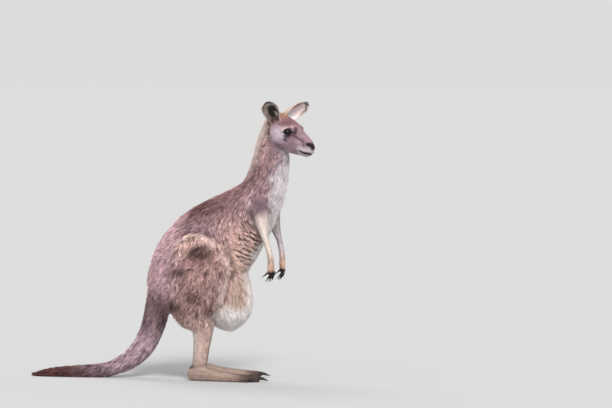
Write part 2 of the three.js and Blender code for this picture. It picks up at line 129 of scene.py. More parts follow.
# ---------------------------------------------------------------- ears
# Long scooped ears: a leaf of gristle under thin skin, rolled almost shut where it leaves the skull
# and opening to a rounded tip. Each is a thick leaf here, drawn by its half width and curl, and
# the skin takes it in. Their root, length and turn are those of the solid ears.
HEAD_ORIGIN = np.array((0.3829, 0.0, 0.954))
HEAD_TURN = np.array(Euler((0, math.radians(25), math.radians(-13))).to_matrix())
EAR_LENGTH = 0.115
EAR_ROOT = (0.010, 0.038, 0.034)
EAR_BOW = 0.009
EAR_THICK, EAR_RIM_THICK = 0.0056, 0.0050
EAR_BURIED = 0.16  # of its length, how far the leaf runs on into the skull
EAR_ROWS, EAR_COLUMNS = 44, 34
EAR_HALF_WIDTHS = (0.041, 0.043, 0.043, 0.042, 0.040, 0.037, 0.029, 0.011)
EAR_CURLS = (128, 114, 98, 82, 68, 57, 49, 42)
EAR_POSES = {
    "left": ((0.41, 0.42, 0.81), (0.6, -0.45, -0.2)),
    "right": ((-0.2, -0.768, 0.6), (0.716, -0.548, -0.43)),
}


def to_world(local):
    """From the head's own frame (forward, left, up from the middle of the skull) to the animal's."""
    return HEAD_ORIGIN + np.asarray(local) @ HEAD_TURN.T


def to_head(co):
    """And back again."""
    return (co - HEAD_ORIGIN) @ HEAD_TURN


def unit(vectors):
    """The same directions, each one metre long."""
    vectors = np.asarray(vectors, float)
    length = np.linalg.norm(vectors, axis=-1, keepdims=True)
    return vectors / np.maximum(length, 1e-12)


def ear_axes(side):
    """The axis, the width direction and the way that an ear opens, in the head's frame."""
    axis, opening = (unit(v) for v in EAR_POSES[side])
    across = unit(np.cross(opening, axis))
    return axis, across, np.cross(axis, across)


def ear_point(side, s, t, depth):
    """A point of an ear: s along it from root to tip, t across it, depth towards its opening."""
    axis, across, opening = ear_axes(side)
    sign = 1 if side == "left" else -1
    stations = np.linspace(0, 1, len(EAR_CURLS))
    along = np.clip(s, 0, 1)
    half = np.interp(along, stations, EAR_HALF_WIDTHS)
    curl = np.radians(np.interp(along, stations, EAR_CURLS))
    radius = half / curl
    angle = t * curl
    reach = radius - depth
    root_radius = EAR_HALF_WIDTHS[0] / math.radians(EAR_CURLS[0])
    back_line = -root_radius * (1 - along) - EAR_BOW * 4 * along * (1 - along)
    place = np.array(EAR_ROOT) * (1, sign, 1) + np.outer(s, axis) * EAR_LENGTH
    place += np.outer(reach * np.sin(angle), across)
    place += np.outer(back_line + radius - reach * np.cos(angle), opening)
    return to_world(place)


def ear_leaf(side):
    """The closed leaf of one ear as vertices and quads."""
    rows = np.linspace(-EAR_BURIED, 1, EAR_ROWS)
    columns = np.sin(np.linspace(-1, 1, EAR_COLUMNS) * math.pi / 2)
    s, t = (grid.ravel() for grid in np.meshgrid(rows, columns, indexing="ij"))
    rim = np.maximum(np.abs(t), np.clip(s, 0, 1)) ** 6
    depth = (EAR_THICK + (EAR_RIM_THICK - EAR_THICK) * rim) / 2
    points = np.vstack([ear_point(side, s, t, depth), ear_point(side, s, t, -depth)])
    back = EAR_ROWS * EAR_COLUMNS
    quads = []
    for i in range(EAR_ROWS - 1):
        for k in range(EAR_COLUMNS - 1):
            a = i * EAR_COLUMNS + k
            b = a + EAR_COLUMNS
            quads += [(a, b, b + 1, a + 1), (back + a, back + a + 1, back + b + 1, back + b)]
        a, b = i * EAR_COLUMNS, i * EAR_COLUMNS + EAR_COLUMNS - 1
        quads.append((a, back + a, back + a + EAR_COLUMNS, a + EAR_COLUMNS))
        quads.append((b, b + EAR_COLUMNS, back + b + EAR_COLUMNS, back + b))
    last = (EAR_ROWS - 1) * EAR_COLUMNS
    for k in range(EAR_COLUMNS - 1):
        quads.append((k, k + 1, back + k + 1, back + k))
        quads.append((last + k, back + last + k, back + last + k + 1, last + k + 1))
    return points, quads


# ---------------------------------------------------------------- skin: the body
# The skin is one closed hide over flesh and bone. The solids of flesh are joined into one form,
# their cuts are closed, the creases where muscles meet are softened, and the whole is drawn in by
# the depth of the coat. It is coarse where thick fur hides it and fine on the head, paws and feet.
VOXEL = 0.0022
CLOSE_CUTS = 0.0005  # how far each solid is grown so that neighbours run into each other
BODY_SHARE = 0.16  # of the body's triangles that are kept under thick fur
FINE_SHARE = 0.60  # and of those of the head, ears, paws and toes
TOES_FROM = 0.30  # ahead of this the feet keep their fine mesh
FLESH = [name for name in nodes if not name.startswith(("claw_", "ear_"))]
LABELLED = [name for name in nodes if not name.startswith("claw_")]
JAW_BACK, JAW_WAY = (0.0, 0.0, 0.020), (0.89, 0.0, 0.456)  # the head's fur begins ahead of this
JAW_LOW = -0.063  # and above this, in the head's frame


def coordinates(mesh):
    """The place of each vertex of a mesh."""
    co = np.empty(len(mesh.vertices) * 3, np.float32)
    mesh.vertices.foreach_get("co", co)
    return co.reshape(-1, 3).astype(float)


def triangles_of(mesh):
    """The vertex numbers of each face of a mesh that is all triangles."""
    corners = np.empty(len(mesh.loops), np.int32)
    mesh.loops.foreach_get("vertex_index", corners)
    return corners.reshape(-1, 3)


def mesh_from(name, co, faces):
    """A mesh from arrays of places and of triangles."""
    mesh = bpy.data.meshes.new(name)
    mesh.vertices.add(len(co))
    mesh.vertices.foreach_set("co", np.asarray(co, np.float32).ravel())
    mesh.loops.add(len(faces) * 3)
    mesh.loops.foreach_set("vertex_index", np.asarray(faces, np.int32).ravel())
    mesh.polygons.add(len(faces))
    mesh.polygons.foreach_set("loop_start", np.arange(len(faces), dtype=np.int32) * 3)
    mesh.update(calc_edges=True)
    return mesh


def modified(mesh, kind, weights=None, **settings):
    """The mesh after one modifier. weights, one for each vertex, become its vertex group."""
    holder = bpy.data.objects.new("holder", mesh)
    bpy.context.scene.collection.objects.link(holder)
    modifier = holder.modifiers.new(kind.lower(), kind)
    for key, value in settings.items():
        setattr(modifier, key, value)
    if weights is not None:
        group = holder.vertex_groups.new(name="weights")
        levels = np.round(np.clip(weights, 0, 1) * 20).astype(int)
        for level in np.unique(levels):
            group.add(np.nonzero(levels == level)[0].tolist(), level / 20, "REPLACE")
        modifier.vertex_group = "weights"
    depsgraph = bpy.context.evaluated_depsgraph_get()
    result = bpy.data.meshes.new_from_object(holder.evaluated_get(depsgraph))
    bpy.data.objects.remove(holder)
    return result


def smoothstep(low, high, value):
    """0 below the low value, 1 above the high one and smooth between them. They may be swapped."""
    t = np.clip((value - low) / (high - low), 0, 1)
    return t * t * (3 - 2 * t)


joined = bmesh.new()
for name in FLESH:
    joined.from_mesh(nodes[name].data)
bmesh.ops.remove_doubles(joined, verts=joined.verts, dist=1e-6)
joined.normal_update()
for vert in joined.verts:
    vert.co += vert.normal * CLOSE_CUTS
for side in EAR_POSES:
    points, quads = ear_leaf(side)
    corners = [joined.verts.new(point) for point in points]
    for quad in quads:
        joined.faces.new([corners[k] for k in quad])
flesh = bpy.data.meshes.new("flesh")
joined.to_mesh(flesh)
joined.free()
hide = modified(flesh, "REMESH", mode="VOXEL", voxel_size=VOXEL)


def ahead_of_jaw(co):
    """How far each place is ahead of the line where the head's short fur meets the neck's, which
    runs down behind the jaw and then forward under it."""
    local = to_head(co)
    return np.minimum((local - JAW_BACK) @ JAW_WAY, local[:, 2] - JAW_LOW)


def nearest_nodes(co):
    """For each place, which of the labelled solids is nearest. Head and neck part along the jaw."""
    places, polygons, owner = [], [], []
    for number, name in enumerate(LABELLED):
        mesh = nodes[name].data
        start = len(places)
        places += [vert.co for vert in mesh.vertices]
        polygons += [[start + k for k in polygon.vertices] for polygon in mesh.polygons]
        owner += [number] * len(mesh.polygons)
    tree = BVHTree.FromPolygons(places, polygons)
    labels = np.array([owner[tree.find_nearest(place)[2]] for place in co.tolist()])
    head, neck = LABELLED.index("head"), LABELLED.index("neck")
    either = (labels == head) | (labels == neck)
    return np.where(either, np.where(ahead_of_jaw(co) > 0, head, neck), labels)


def weight_of(name, labels):
    """1 on the parts whose names start with one of the given words."""
    wanted = [number for number, node in enumerate(LABELLED) if node.startswith(name)]
    return np.isin(labels, wanted).astype(float)


def refined(co, faces, marked):
    """Halves every edge of the marked triangles, and fits their neighbours to the new points. The last
    result is a neighbour of each new point."""
    edges = np.sort(faces[:, [[0, 1], [1, 2], [2, 0]]].reshape(-1, 2), axis=1)
    pairs, edge_of = np.unique(edges, axis=0, return_inverse=True)
    edge_of = edge_of.reshape(-1, 3)
    split = np.zeros(len(pairs), bool)
    split[edge_of[marked].ravel()] = True
    middle = np.full(len(pairs), -1)
    middle[split] = len(co) + np.arange(split.sum())
    co = np.vstack([co, co[pairs[split]].mean(axis=1)])
    cut = split[edge_of]
    count = cut.sum(axis=1)
    parts = [faces[count == 0]]
    whole = count == 3
    a, b, c = faces[whole].T
    ab, bc, ca = middle[edge_of[whole]].T
    parts += [np.stack(t, 1) for t in ((a, ab, ca), (ab, b, bc), (ca, bc, c), (ab, bc, ca))]
    for shift in range(3):
        turned = np.roll(faces, -shift, axis=1)
        turned_cut = np.roll(cut, -shift, axis=1)
        turned_edge = np.roll(edge_of, -shift, axis=1)
        one = (count == 1) & turned_cut[:, 0]
        a, b, c = turned[one].T
        ab = middle[turned_edge[one, 0]]
        parts += [np.stack((a, ab, c), 1), np.stack((ab, b, c), 1)]
        two = (count == 2) & turned_cut[:, 0] & turned_cut[:, 1]
        a, b, c = turned[two].T
        ab, bc = middle[turned_edge[two, 0]], middle[turned_edge[two, 1]]
        parts += [np.stack(t, 1) for t in ((a, ab, bc), (ab, b, bc), (a, bc, c))]
    return co, np.vstack(parts), pairs[split, 0]


class Hide:
    """The skin's triangles with what the sculpting and the coat need to know about them."""

    def __init__(self, co, faces):
        self.co, self.faces = co, faces
        self.labels = nearest_nodes(co)
        self.link()

    def on(self, name):
        return weight_of(name, self.labels)

    def link(self):
        pairs = self.faces[:, [[0, 1], [1, 2], [2, 0]]].reshape(-1, 2)
        pairs = np.unique(np.sort(pairs, axis=1), axis=0)
        ends = np.vstack([pairs, pairs[:, ::-1]])
        ends = ends[np.argsort(ends[:, 0], kind="stable")]
        self.start = np.searchsorted(ends[:, 0], np.arange(len(self.co)))
        self.ends = ends
        self.degree = np.bincount(ends[:, 0], minlength=len(self.co)).astype(float)

    def around(self, values):
        """The mean of a value over each vertex's neighbours."""
        total = np.add.reduceat(values[self.ends[:, 1]], self.start, axis=0)
        return total / (self.degree if values.ndim == 1 else self.degree[:, None])

    def spread(self, values, rounds, share=0.5):
        """The value, blended into its neighbours so many times. share may differ by vertex."""
        if np.ndim(share) and values.ndim > 1:
            share = share[:, None]
        for _ in range(rounds):
            values = values + share * (self.around(values) - values)
        return values

    def normals(self):
        a, b, c = (self.co[self.faces[:, k]] for k in range(3))
        face_normal = np.cross(b - a, c - a)
        total = np.zeros_like(self.co)
        for axis in range(3):
            for k in range(3):
                total[:, axis] += np.bincount(self.faces[:, k], face_normal[:, axis], len(self.co))
        return unit(total)

    def refine(self, marked):
        """Halves the edges of each triangle that has a marked vertex."""
        self.co, self.faces, parents = refined(self.co, self.faces, marked[self.faces].any(axis=1))
        self.labels = np.concatenate([self.labels, self.labels[parents]])
        self.link()


# Muscles run into each other over about a finger's width. Paws, toes and ears keep their edges.
co = coordinates(hide)
labels = nearest_nodes(co)
soft = np.ones(len(co))
for names, share in ((("head", "eye"), 0.6), ("ear", 0.15), ("foot", 0.3), ("hand", 0.05)):
    soft[weight_of(names, labels) > 0] = share
hide = modified(hide, "SMOOTH", soft, factor=0.5, iterations=40)

# The hide is thinned: by far the most under thick fur, and a little elsewhere.


def is_fine(co):
    """1 where the skin shows its form through short fur."""
    labels = nearest_nodes(co)
    toes = (weight_of("foot", labels) > 0) & (co[:, 0] > TOES_FROM) & (co[:, 2] > 0.001)
    return np.maximum(weight_of(("head", "eye", "ear", "hand"), labels), toes)


hide = modified(hide, "TRIANGULATE")
for fine, kept in ((0, BODY_SHARE), (1, FINE_SHARE)):
    chosen = (is_fine(coordinates(hide)) == fine).astype(float)
    hide = modified(
        hide,
        "DECIMATE",
        chosen,
        ratio=1 - chosen.mean() * (1 - kept),
        use_collapse_triangulate=True,
        vertex_group_factor=0.1,
    )
skin = Hide(coordinates(hide), triangles_of(hide))
broad = skin.on(("trunk", "thigh", "pouch", "neck", "tail_root"))
broad += 0.35 * skin.on(("tail_middle", "tail_tip", "shank", "upper_arm"))
skin.co = skin.spread(skin.co, 16, 0.5 * skin.spread(broad, 6))

# The hide is drawn in by the depth of the coat over each part, but not where the animal stands.
COAT_DEPTHS = {
    "trunk": 0.0085,
    "thigh": 0.0095,
    "pouch": 0.007,
    "neck": 0.0055,
    "tail": 0.006,
    "upper_arm": 0.0042,
    "shank": 0.0026,
    "forearm": 0.0022,
    "foot": 0.0014,
    "head": 0.0022,
    "eye": 0.002,
    "ear": 0.0012,
    "hand": 0.0008,
}
FLOOR_SKIN = (0.0012, 0.012)  # the heights between which the hide leaves the floor's flats


def by_part(table):
    """At each vertex of the skin, the table's number for the part that it lies on."""
    return sum(value * skin.on(name) for name, value in table.items())


depth = skin.spread(by_part(COAT_DEPTHS), 12) * smoothstep(*FLOOR_SKIN, skin.co[:, 2])
skin.co = skin.co - skin.normals() * depth[:, None]

# ---------------------------------------------------------------- head
# The hide over the skull is the finest: lids round the eyes, comma-shaped nostrils in a bare dark
# strip, the line of the mouth, and pads for the whiskers. The mesh is first refined where those
# lie, and they are then pressed into it, in the head's frame: forward, to its left and up.
EYE_PLACE = (0.075, 0.039, 0.017)
EYE_RADIUS = 0.0145
EYE_OUT = (0.38, 0.86, 0.34)
EYE_TILT = math.radians(18)  # the front corner lies higher than the back one
EYE_OPENING = (0.0158, 0.0100, 0.0086)  # half its length, its height above and below, over the eye
LID = 0.0014  # the thickness of a lid
MOUTH = (
    (0.184, 0.0, -0.0215),
    (0.178, 0.0130, -0.0222),
    (0.166, 0.0210, -0.0250),
    (0.149, 0.0260, -0.0248),
)
NOSTRIL = (
    (0.1665, 0.0215, 0.0085),
    (0.1745, 0.0190, 0.0080),
    (0.1820, 0.0140, 0.0035),
    (0.1850, 0.0105, -0.0030),
)
# Forms pressed out of the head or into it: centre, reach and height.
HEAD_FORMS = (
    ((0.090, 0.036, 0.038), 0.017, 0.0042),  # the brow over the eye
    ((0.062, 0.016, 0.054), 0.024, 0.0030),  # the forehead
    ((0.052, 0.052, -0.016), 0.030, 0.0022),  # the muscle of the jaw
    ((0.088, 0.044, -0.006), 0.016, 0.0014),  # the bony rim under the eye
    ((0.108, 0.036, -0.016), 0.018, -0.0024),  # the hollow ahead of it
    ((0.112, 0.026, 0.020), 0.015, -0.0014),  # the slope from the brow to the muzzle
    ((0.160, 0.026, -0.012), 0.013, 0.0012),  # the upper lip
)
HEAD_LINES = (  # and along lines: their points, reach and height
    (((0.190, 0.0, -0.004), (0.186, 0.0, -0.0200)), 0.0014, -0.0016),  # the cleft of the upper lip
    (((0.174, 0, -0.042), (0.155, 0, -0.045)), 0.014, -0.0030),  # under the chin
    (((0.014, 0, 0.062), (-0.008, 0, 0.060)), 0.026, 0.0070),  # the crown between the ears
)
LID_ROLL, LID_ROLL_WIDTH = 0.0005, 0.0012  # the lid is thickest at its edge
LID_CREASE, LID_CREASE_ABOVE = 0.0003, 0.0007  # how deep the fold behind it is, and how much more above
LID_CREASE_AT, LID_CREASE_WIDTH = 0.0042, 0.0010
SOCKET_DEPTH = 0.0016  # how far the hide in the opening lies behind the front of the eye


def folded(local):
    """Places of the head with its right half laid over its left."""
    return np.stack([local[:, 0], np.abs(local[:, 1]), local[:, 2]], axis=1)


def distance_to(line, places):
    """How far each place is from a line through points, and how far along it, from 0 to 1."""
    line = np.asarray(line, float)
    lengths = np.linalg.norm(np.diff(line, axis=0), axis=1)
    best, along = np.full(len(places), np.inf), np.zeros(len(places))
    for k, (a, b) in enumerate(zip(line[:-1], line[1:])):
        t = np.clip((places - a) @ (b - a) / lengths[k] ** 2, 0, 1)
        away = np.linalg.norm(places - a - t[:, None] * (b - a), axis=1)
        closer = away < best
        best[closer] = away[closer]
        along[closer] = ((lengths[:k].sum() + t * lengths[k]) / lengths.sum())[closer]
    return best, along


def mouth_distance(local):
    """How far each place of the head is from the line of the mouth, seen from the side."""
    line = np.array(MOUTH)[:, [0, 2]]
    return distance_to(line, local[:, [0, 2]])[0] + 0.02 * (local[:, 0] < 0.13)


def bell(distance, reach):
    """1 where the distance is 0, falling smoothly to nearly 0 at twice the reach."""
    return np.exp(-((distance / reach) ** 2))


def eye_frame():
    """The left eye's centre and its directions: forward between the lids' corners, up and out."""
    out = unit(EYE_OUT)
    ahead = unit(np.array((1.0, 0, 0)) - out * out[0])
    rise = np.cross(ahead, out)
    ahead, rise = (
        ahead * math.cos(EYE_TILT) + rise * math.sin(EYE_TILT),
        rise * math.cos(EYE_TILT) - ahead * math.sin(EYE_TILT),
    )
    return np.array(EYE_PLACE), ahead, rise, out


def eye_distance(local):
    """How far each place of the head is from the front of the nearer eye."""
    centre, _, _, out = eye_frame()
    return np.linalg.norm(folded(local) - centre - out * EYE_RADIUS, axis=1)


def lids(local):
    """For each place: its ray from the eye's centre, its distance from it, how far it is from the lids'
    edge along the eye, below 0 in the opening, and how far it is above the line of the lids."""
    centre, ahead, rise, out = eye_frame()
    ray = folded(local) - centre
    distance = np.linalg.norm(ray, axis=1)
    ray /= distance[:, None]
    x, z = ray @ ahead, ray @ rise
    arc = EYE_RADIUS * np.arccos(np.clip(ray @ out, -1, 1)) / np.maximum(np.hypot(x, z), 1e-6)
    x, z = np.abs(x * arc), z * arc
    long, high = EYE_OPENING[0], np.where(z > 0, *EYE_OPENING[1:])
    level = (x / long) ** 2 + (np.abs(z) / high) ** 1.5 - 1
    slope = np.hypot(2 * x / long**2, 1.5 * (np.abs(z) / high) ** 0.5 / high)
    return ray, distance, level / np.maximum(slope, 40), z


HEAD = ("head", "eye")
local = to_head(skin.co)
skin.refine((skin.on(HEAD) > 0) & ((eye_distance(local) < 0.026) | (local[:, 0] > 0.142)))
local = folded(to_head(skin.co))
near_lines = (mouth_distance(local) < 0.0045) | (distance_to(NOSTRIL, local)[0] < 0.006)
skin.refine((skin.on(HEAD) > 0) & (near_lines | (np.abs(lids(local)[2]) < 0.002)))

local = to_head(skin.co)
finest = np.maximum(smoothstep(0.028, 0.022, eye_distance(local)), smoothstep(0.12, 0.14, local[:, 0]))
skin.co = skin.spread(skin.co, 8, 0.5 * finest * skin.on(HEAD))

# Pads, hollows and the lines of the lips and nostrils.
local = folded(to_head(skin.co))
on_head = skin.on(HEAD)
rise = np.zeros(len(local))
for centre, reach, height in HEAD_FORMS:
    rise += height * bell(np.linalg.norm(local - centre, axis=1), reach)
mouth = mouth_distance(local)
rise -= 0.0026 * bell(mouth, 0.0013)
rise += 0.0008 * bell(mouth - 0.004, 0.002)
for line, reach, height in HEAD_LINES:
    rise += height * bell(distance_to(line, local)[0], reach)
nostril, along_nostril = distance_to(NOSTRIL, local)
rise += 0.0011 * bell(nostril - 0.0045, 0.0020)
rise -= 0.0048 * bell(nostril, 0.0017 - 0.0007 * along_nostril) * (1 - 0.5 * along_nostril)
skin.co = skin.co + skin.normals() * (rise * on_head)[:, None]

# The lids lie on the eye, and the hide within their opening is sunk behind it.
local = to_head(skin.co)
ray, distance, edge, height = lids(local)
above = smoothstep(-0.002, 0.004, height)
lid = EYE_RADIUS + LID + LID_ROLL * bell(edge - LID_ROLL_WIDTH, LID_ROLL_WIDTH)
lid -= (LID_CREASE + LID_CREASE_ABOVE * above) * bell(edge - LID_CREASE_AT, LID_CREASE_WIDTH)
outside = lid + (np.maximum(distance, lid) - lid) * smoothstep(0.002, 0.011, edge)
behind = EYE_RADIUS - SOCKET_DEPTH
radius = behind + (outside - behind) * smoothstep(-0.0009, 0.0003, edge)
sunk = eye_frame()[0] + ray * radius[:, None]
sunk[:, 1] *= np.sign(local[:, 1])
near = (edge < 0.011) & (distance < EYE_RADIUS + 0.014) & (ray @ eye_frame()[3] > -0.2) & (on_head > 0)
skin.co[near] = to_world(sunk[near])
skin.co[:, 2] = np.maximum(skin.co[:, 2], 0)  # the soles and the tail rest on the floor

# ---------------------------------------------------------------- folds of the body
# Loose skin over the big muscles: the haunch stands out from the flank behind a soft fold, and small
# waves of skin lie across the flank behind the elbow, where the crouching body is pressed together.
HAUNCH = {"centre": (0.115, 0.408), "ahead": (0.100, 0.116), "above": 0.148, "below": 0.190}
LEFT_LEG_BACK = 0.030  # how far the left hind leg stands behind the right one
HAUNCH_FOLDS = (  # height, how far outside the haunch's edge, and reach
    (0.0035, -0.014, 0.014),  # the haunch swells
    (-0.0050, 0.006, 0.008),  # and the flank sinks in front of it
)
FLANK_WAVES = {"centre": (0.312, 0.085, 0.500), "reach": (0.085, 0.100, 0.100), "length": 0.0185}
WAVE_HEIGHT = 0.0044


def haunch_edge(co):
    """How far each place is outside the haunch's oval outline, seen from the side, in metres."""
    x = co[:, 0] + LEFT_LEG_BACK * (co[:, 1] > 0) - HAUNCH["centre"][0]
    z = co[:, 2] - HAUNCH["centre"][1]
    high = np.where(z > 0, HAUNCH["above"], HAUNCH["below"])
    low, wide = HAUNCH["ahead"]
    ring = np.hypot(x / (low + (wide - low) * smoothstep(-0.03, 0.03, z)), z / high)
    return (ring - 1) * np.hypot(x, z) / np.maximum(ring, 0.1)


def haunch_front(co):
    """1 along the front and top of the haunch, where its outline shows, and 0 behind it."""
    x = co[:, 0] + LEFT_LEG_BACK * (co[:, 1] > 0)
    return smoothstep(-0.02, 0.06, x) * smoothstep(0.24, 0.30, co[:, 2]) * (np.abs(co[:, 1]) > 0.03)


def blot(co, centre, reach):
    """1 at the middle of an upright ellipsoid, falling to 0 at its edge, on both sides of the body."""
    offset = (folded(co) - centre) / reach
    return smoothstep(1.0, 0.2, np.linalg.norm(offset, axis=1))


def swirls(co, size, seed):
    """A slow random swell between about -1 and 1 over the body, its waves about the given size."""
    random = np.random.default_rng(seed)
    total = np.zeros(len(co))
    for _ in range(9):
        way = unit(random.normal(size=3)) * random.uniform(0.5, 1.6) * 2 * math.pi / size
        total += np.sin(co @ way + random.uniform(0, 2 * math.pi))
    return total / 3


def flank_waves(co):
    """The small folds on the flank: where they are, and their swell from -1 to 1."""
    where = blot(co, FLANK_WAVES["centre"], FLANK_WAVES["reach"])
    where = where * smoothstep(-0.9, 0.1, swirls(co, 0.035, 16))
    across = co[:, 2] + 0.5 * co[:, 0] + 0.0035 * swirls(co, 0.05, 15)
    return where, np.sin(across * 2 * math.pi / FLANK_WAVES["length"])


body = skin.on(("trunk", "thigh", "pouch"))
skin.refine((body > 0) & (flank_waves(skin.co)[0] > 0.02))
skin.refine((skin.on("trunk") > 0) & (flank_waves(skin.co)[0] > 0.02))
where, wave = flank_waves(skin.co)
edge = haunch_edge(skin.co)
fold = sum(height * bell(edge - outward, reach) for height, outward, reach in HAUNCH_FOLDS)
swell = fold * haunch_front(skin.co) + WAVE_HEIGHT * wave * where
swell *= skin.spread(skin.on(("trunk", "thigh", "pouch")), 4)
skin.co = skin.co + skin.normals() * skin.spread(swell, 1)[:, None]

# ---------------------------------------------------------------- the coat's markings
# Mauve grey on the back, warmer on the flanks and haunches, buff on the limbs, white on the throat,
# chest, pouch and backs of the shanks, and nearly black on the paws, toes and end of the tail. The
# colours are laid on one over another, and skin and hair both take theirs from the result.
PART_COLOURS = {  # from 0 to 255, as all the coat's colours
    "trunk": (160, 128, 130),
    "thigh": (174, 138, 135),
    "pouch": (200, 172, 160),
    "neck": (150, 118, 120),
    "tail": (142, 120, 130),
    "upper_arm": (182, 148, 156),
    "forearm": (242, 222, 208),
    "hand": (46, 37, 35),
    "shank": (240, 212, 200),
    "foot": (170, 146, 136),
    "head": (168, 138, 147),
    "ear": (172, 150, 146),
}
WHITE = (252, 247, 245)
RUST = (190, 140, 114)
BLACK = (26, 21, 22)
BLEND_ROUNDS = 50  # how widely the colours of neighbouring parts run into each other
JAW_BLEND = 0.010


def shade(red, green, blue):
    """A colour given from 0 to 255 as it looks, as the light it sends back."""
    value = np.array((red, green, blue)) / 255
    return np.where(value <= 0.04045, value / 12.92, ((value + 0.055) / 1.055) ** 2.4)


def part_shares():
    """How much of each part of the body is in the look of each vertex, blended over the joins."""
    names = list(PART_COLOURS)
    shares = np.stack([skin.on(("head", "eye") if name == "head" else name) for name in names], axis=1)
    above_neck = smoothstep(-JAW_BLEND, JAW_BLEND, ahead_of_jaw(skin.co))
    head, neck = names.index("head"), names.index("neck")
    both = shares[:, head] + shares[:, neck]
    shares[:, head], shares[:, neck] = both * above_neck, both * (1 - above_neck)
    shares = skin.spread(shares.astype(np.float32), BLEND_ROUNDS)
    return {name: shares[:, k].astype(float) for k, name in enumerate(names)}


part = part_shares()
trunk, thigh, pouch, neck, tail = (part[name] for name in ("trunk", "thigh", "pouch", "neck", "tail"))
arm, forearm, hand = (part[name] for name in ("upper_arm", "forearm", "hand"))
shank, foot, head, ear = (part[name] for name in ("shank", "foot", "head", "ear"))
co, normal = skin.co, skin.normals()
x, y, z = co[:, 0], np.abs(co[:, 1]), co[:, 2]
from_side = co[:, [0, 2]]
coat_colour = sum(shade(*tone) * part[name][:, None] for name, tone in PART_COLOURS.items())
coat_colour /= sum(part.values())[:, None]


def lay_on(tone, mask):
    """Lays a colour over the coat, as strongly at each vertex as the mask says."""
    coat_colour[:] = coat_colour + (shade(*tone) - coat_colour) * np.clip(mask, 0, 1)[:, None]


# The back is darker and redder than the flanks, which turn to buff towards the belly.
TRUNK_PATCHES = (  # colour, strength, centre and half size
    ((152, 130, 146), 0.6, (0.13, 0.12, 0.57), (0.14, 0.14, 0.07)),  # grey behind the shoulder
    ((244, 208, 192), 1.0, (0.27, 0.10, 0.45), (0.10, 0.12, 0.15)),  # buff low on the flank
    ((212, 172, 164), 0.8, (0.26, 0.12, 0.56), (0.12, 0.12, 0.10)),  # and above it
)
SHOULDER_STREAK = ((0.314, 0.712), (0.306, 0.648))  # forward and up, as the next line
ELBOW_CREASE = ((0.308, 0.650), (0.333, 0.590), (0.352, 0.545))

upward = normal[:, 2] - 0.65 * normal[:, 0]
lay_on((144, 105, 109), 0.8 * (trunk + neck) * smoothstep(0.40, 1.05, upward))
for tone, strength, centre, reach in TRUNK_PATCHES:
    lay_on(tone, strength * trunk * blot(co, centre, reach))
off_middle = y > 0.04
streak = distance_to(SHOULDER_STREAK, from_side)[0] + 0.003 * swirls(co, 0.03, 14)
lay_on((222, 200, 208), 0.8 * (trunk + arm) * off_middle * smoothstep(0.011, 0.004, streak))
# Painted shade in the crease between the arm and the flank.
crease_shade = distance_to(ELBOW_CREASE, from_side)[0]
lay_on((60, 38, 38), (trunk + 0.5 * arm) * off_middle * smoothstep(0.015, 0.006, crease_shade))
waves, swell = flank_waves(co)
waves = trunk * smoothstep(0.02, 0.32, waves)
# Painted highlight on the crests of the flank's folds, and painted shade in their troughs.
lay_on((250, 218, 206), 0.75 * waves * smoothstep(0.0, 0.8, swell))
lay_on((60, 40, 40), 0.95 * waves * smoothstep(-0.10, -0.62, swell))

# White runs from the throat down the chest, edged with lavender, and in a narrow line on to the belly.
CHEST = ((0.440, 0, 0.89), (0.437, 0, 0.78), (0.425, 0, 0.69), (0.392, 0, 0.60))

chest, down = distance_to(CHEST, co)
chest += 0.012 * swirls(co, 0.05, 6) - 0.040 * smoothstep(0.15, 0.55, down)
lay_on((162, 146, 157), 0.9 * neck * smoothstep(0.058, 0.046, chest))
throat = (trunk + neck) * smoothstep(0.040, 0.026, chest)
lay_on((246, 238, 244), 0.95 * throat)
lay_on((204, 194, 198), 0.9 * throat * smoothstep(0.78, 0.86, z))
front = 0.8 * normal[:, 0] - 0.55 * normal[:, 2] + 0.06 * swirls(co, 0.05, 5)
lay_on(WHITE, trunk * smoothstep(0.80, 0.95, front))

# The middle of the back is the darkest, and then the haunch: mottled, with a lilac rear, a thin pale
# rim along its top and front that is painted highlight on its crest, painted shade in the fold outside
# that rim and in the hollow within it, and dark patches of hair, with painted shade on the lowest.
HAUNCH_SPOTS = (  # centre forward and up, half size and strength
    ((0.137, 0.492), (0.066, 0.046), 1.0),
    ((0.050, 0.420), (0.060, 0.026), 0.7),
    ((0.118, 0.330), (0.050, 0.044), 0.6),
    ((0.028, 0.292), (0.045, 0.038), 0.8),
    ((0.160, 0.270), (0.035, 0.034), 0.7),
)

edge, rim = haunch_edge(co), haunch_front(co)
lay_on((98, 66, 67), 0.8 * trunk * blot(co, (0.13, 0.0, 0.650), (0.13, 0.14, 0.085)))
mottle = swirls(co, 0.035, 8)
lay_on((92, 66, 64), 0.45 * thigh * smoothstep(0.2, 1.2, mottle))
lay_on((206, 170, 160), 0.45 * thigh * smoothstep(-0.2, -1.2, mottle))
lay_on((196, 170, 172), 0.7 * thigh * blot(co, (0.196, 0.15, 0.355), (0.045, 0.12, 0.085)))
# Painted highlight: a pale band over the top of the haunch, and a thin pale line along its crest.
lay_on((224, 184, 174), 0.6 * thigh * rim * bell(edge + 0.026, 0.020) * (z > 0.46))
lay_on((238, 206, 196), 0.8 * (thigh + trunk) * rim * bell(edge + 0.006, 0.0085))
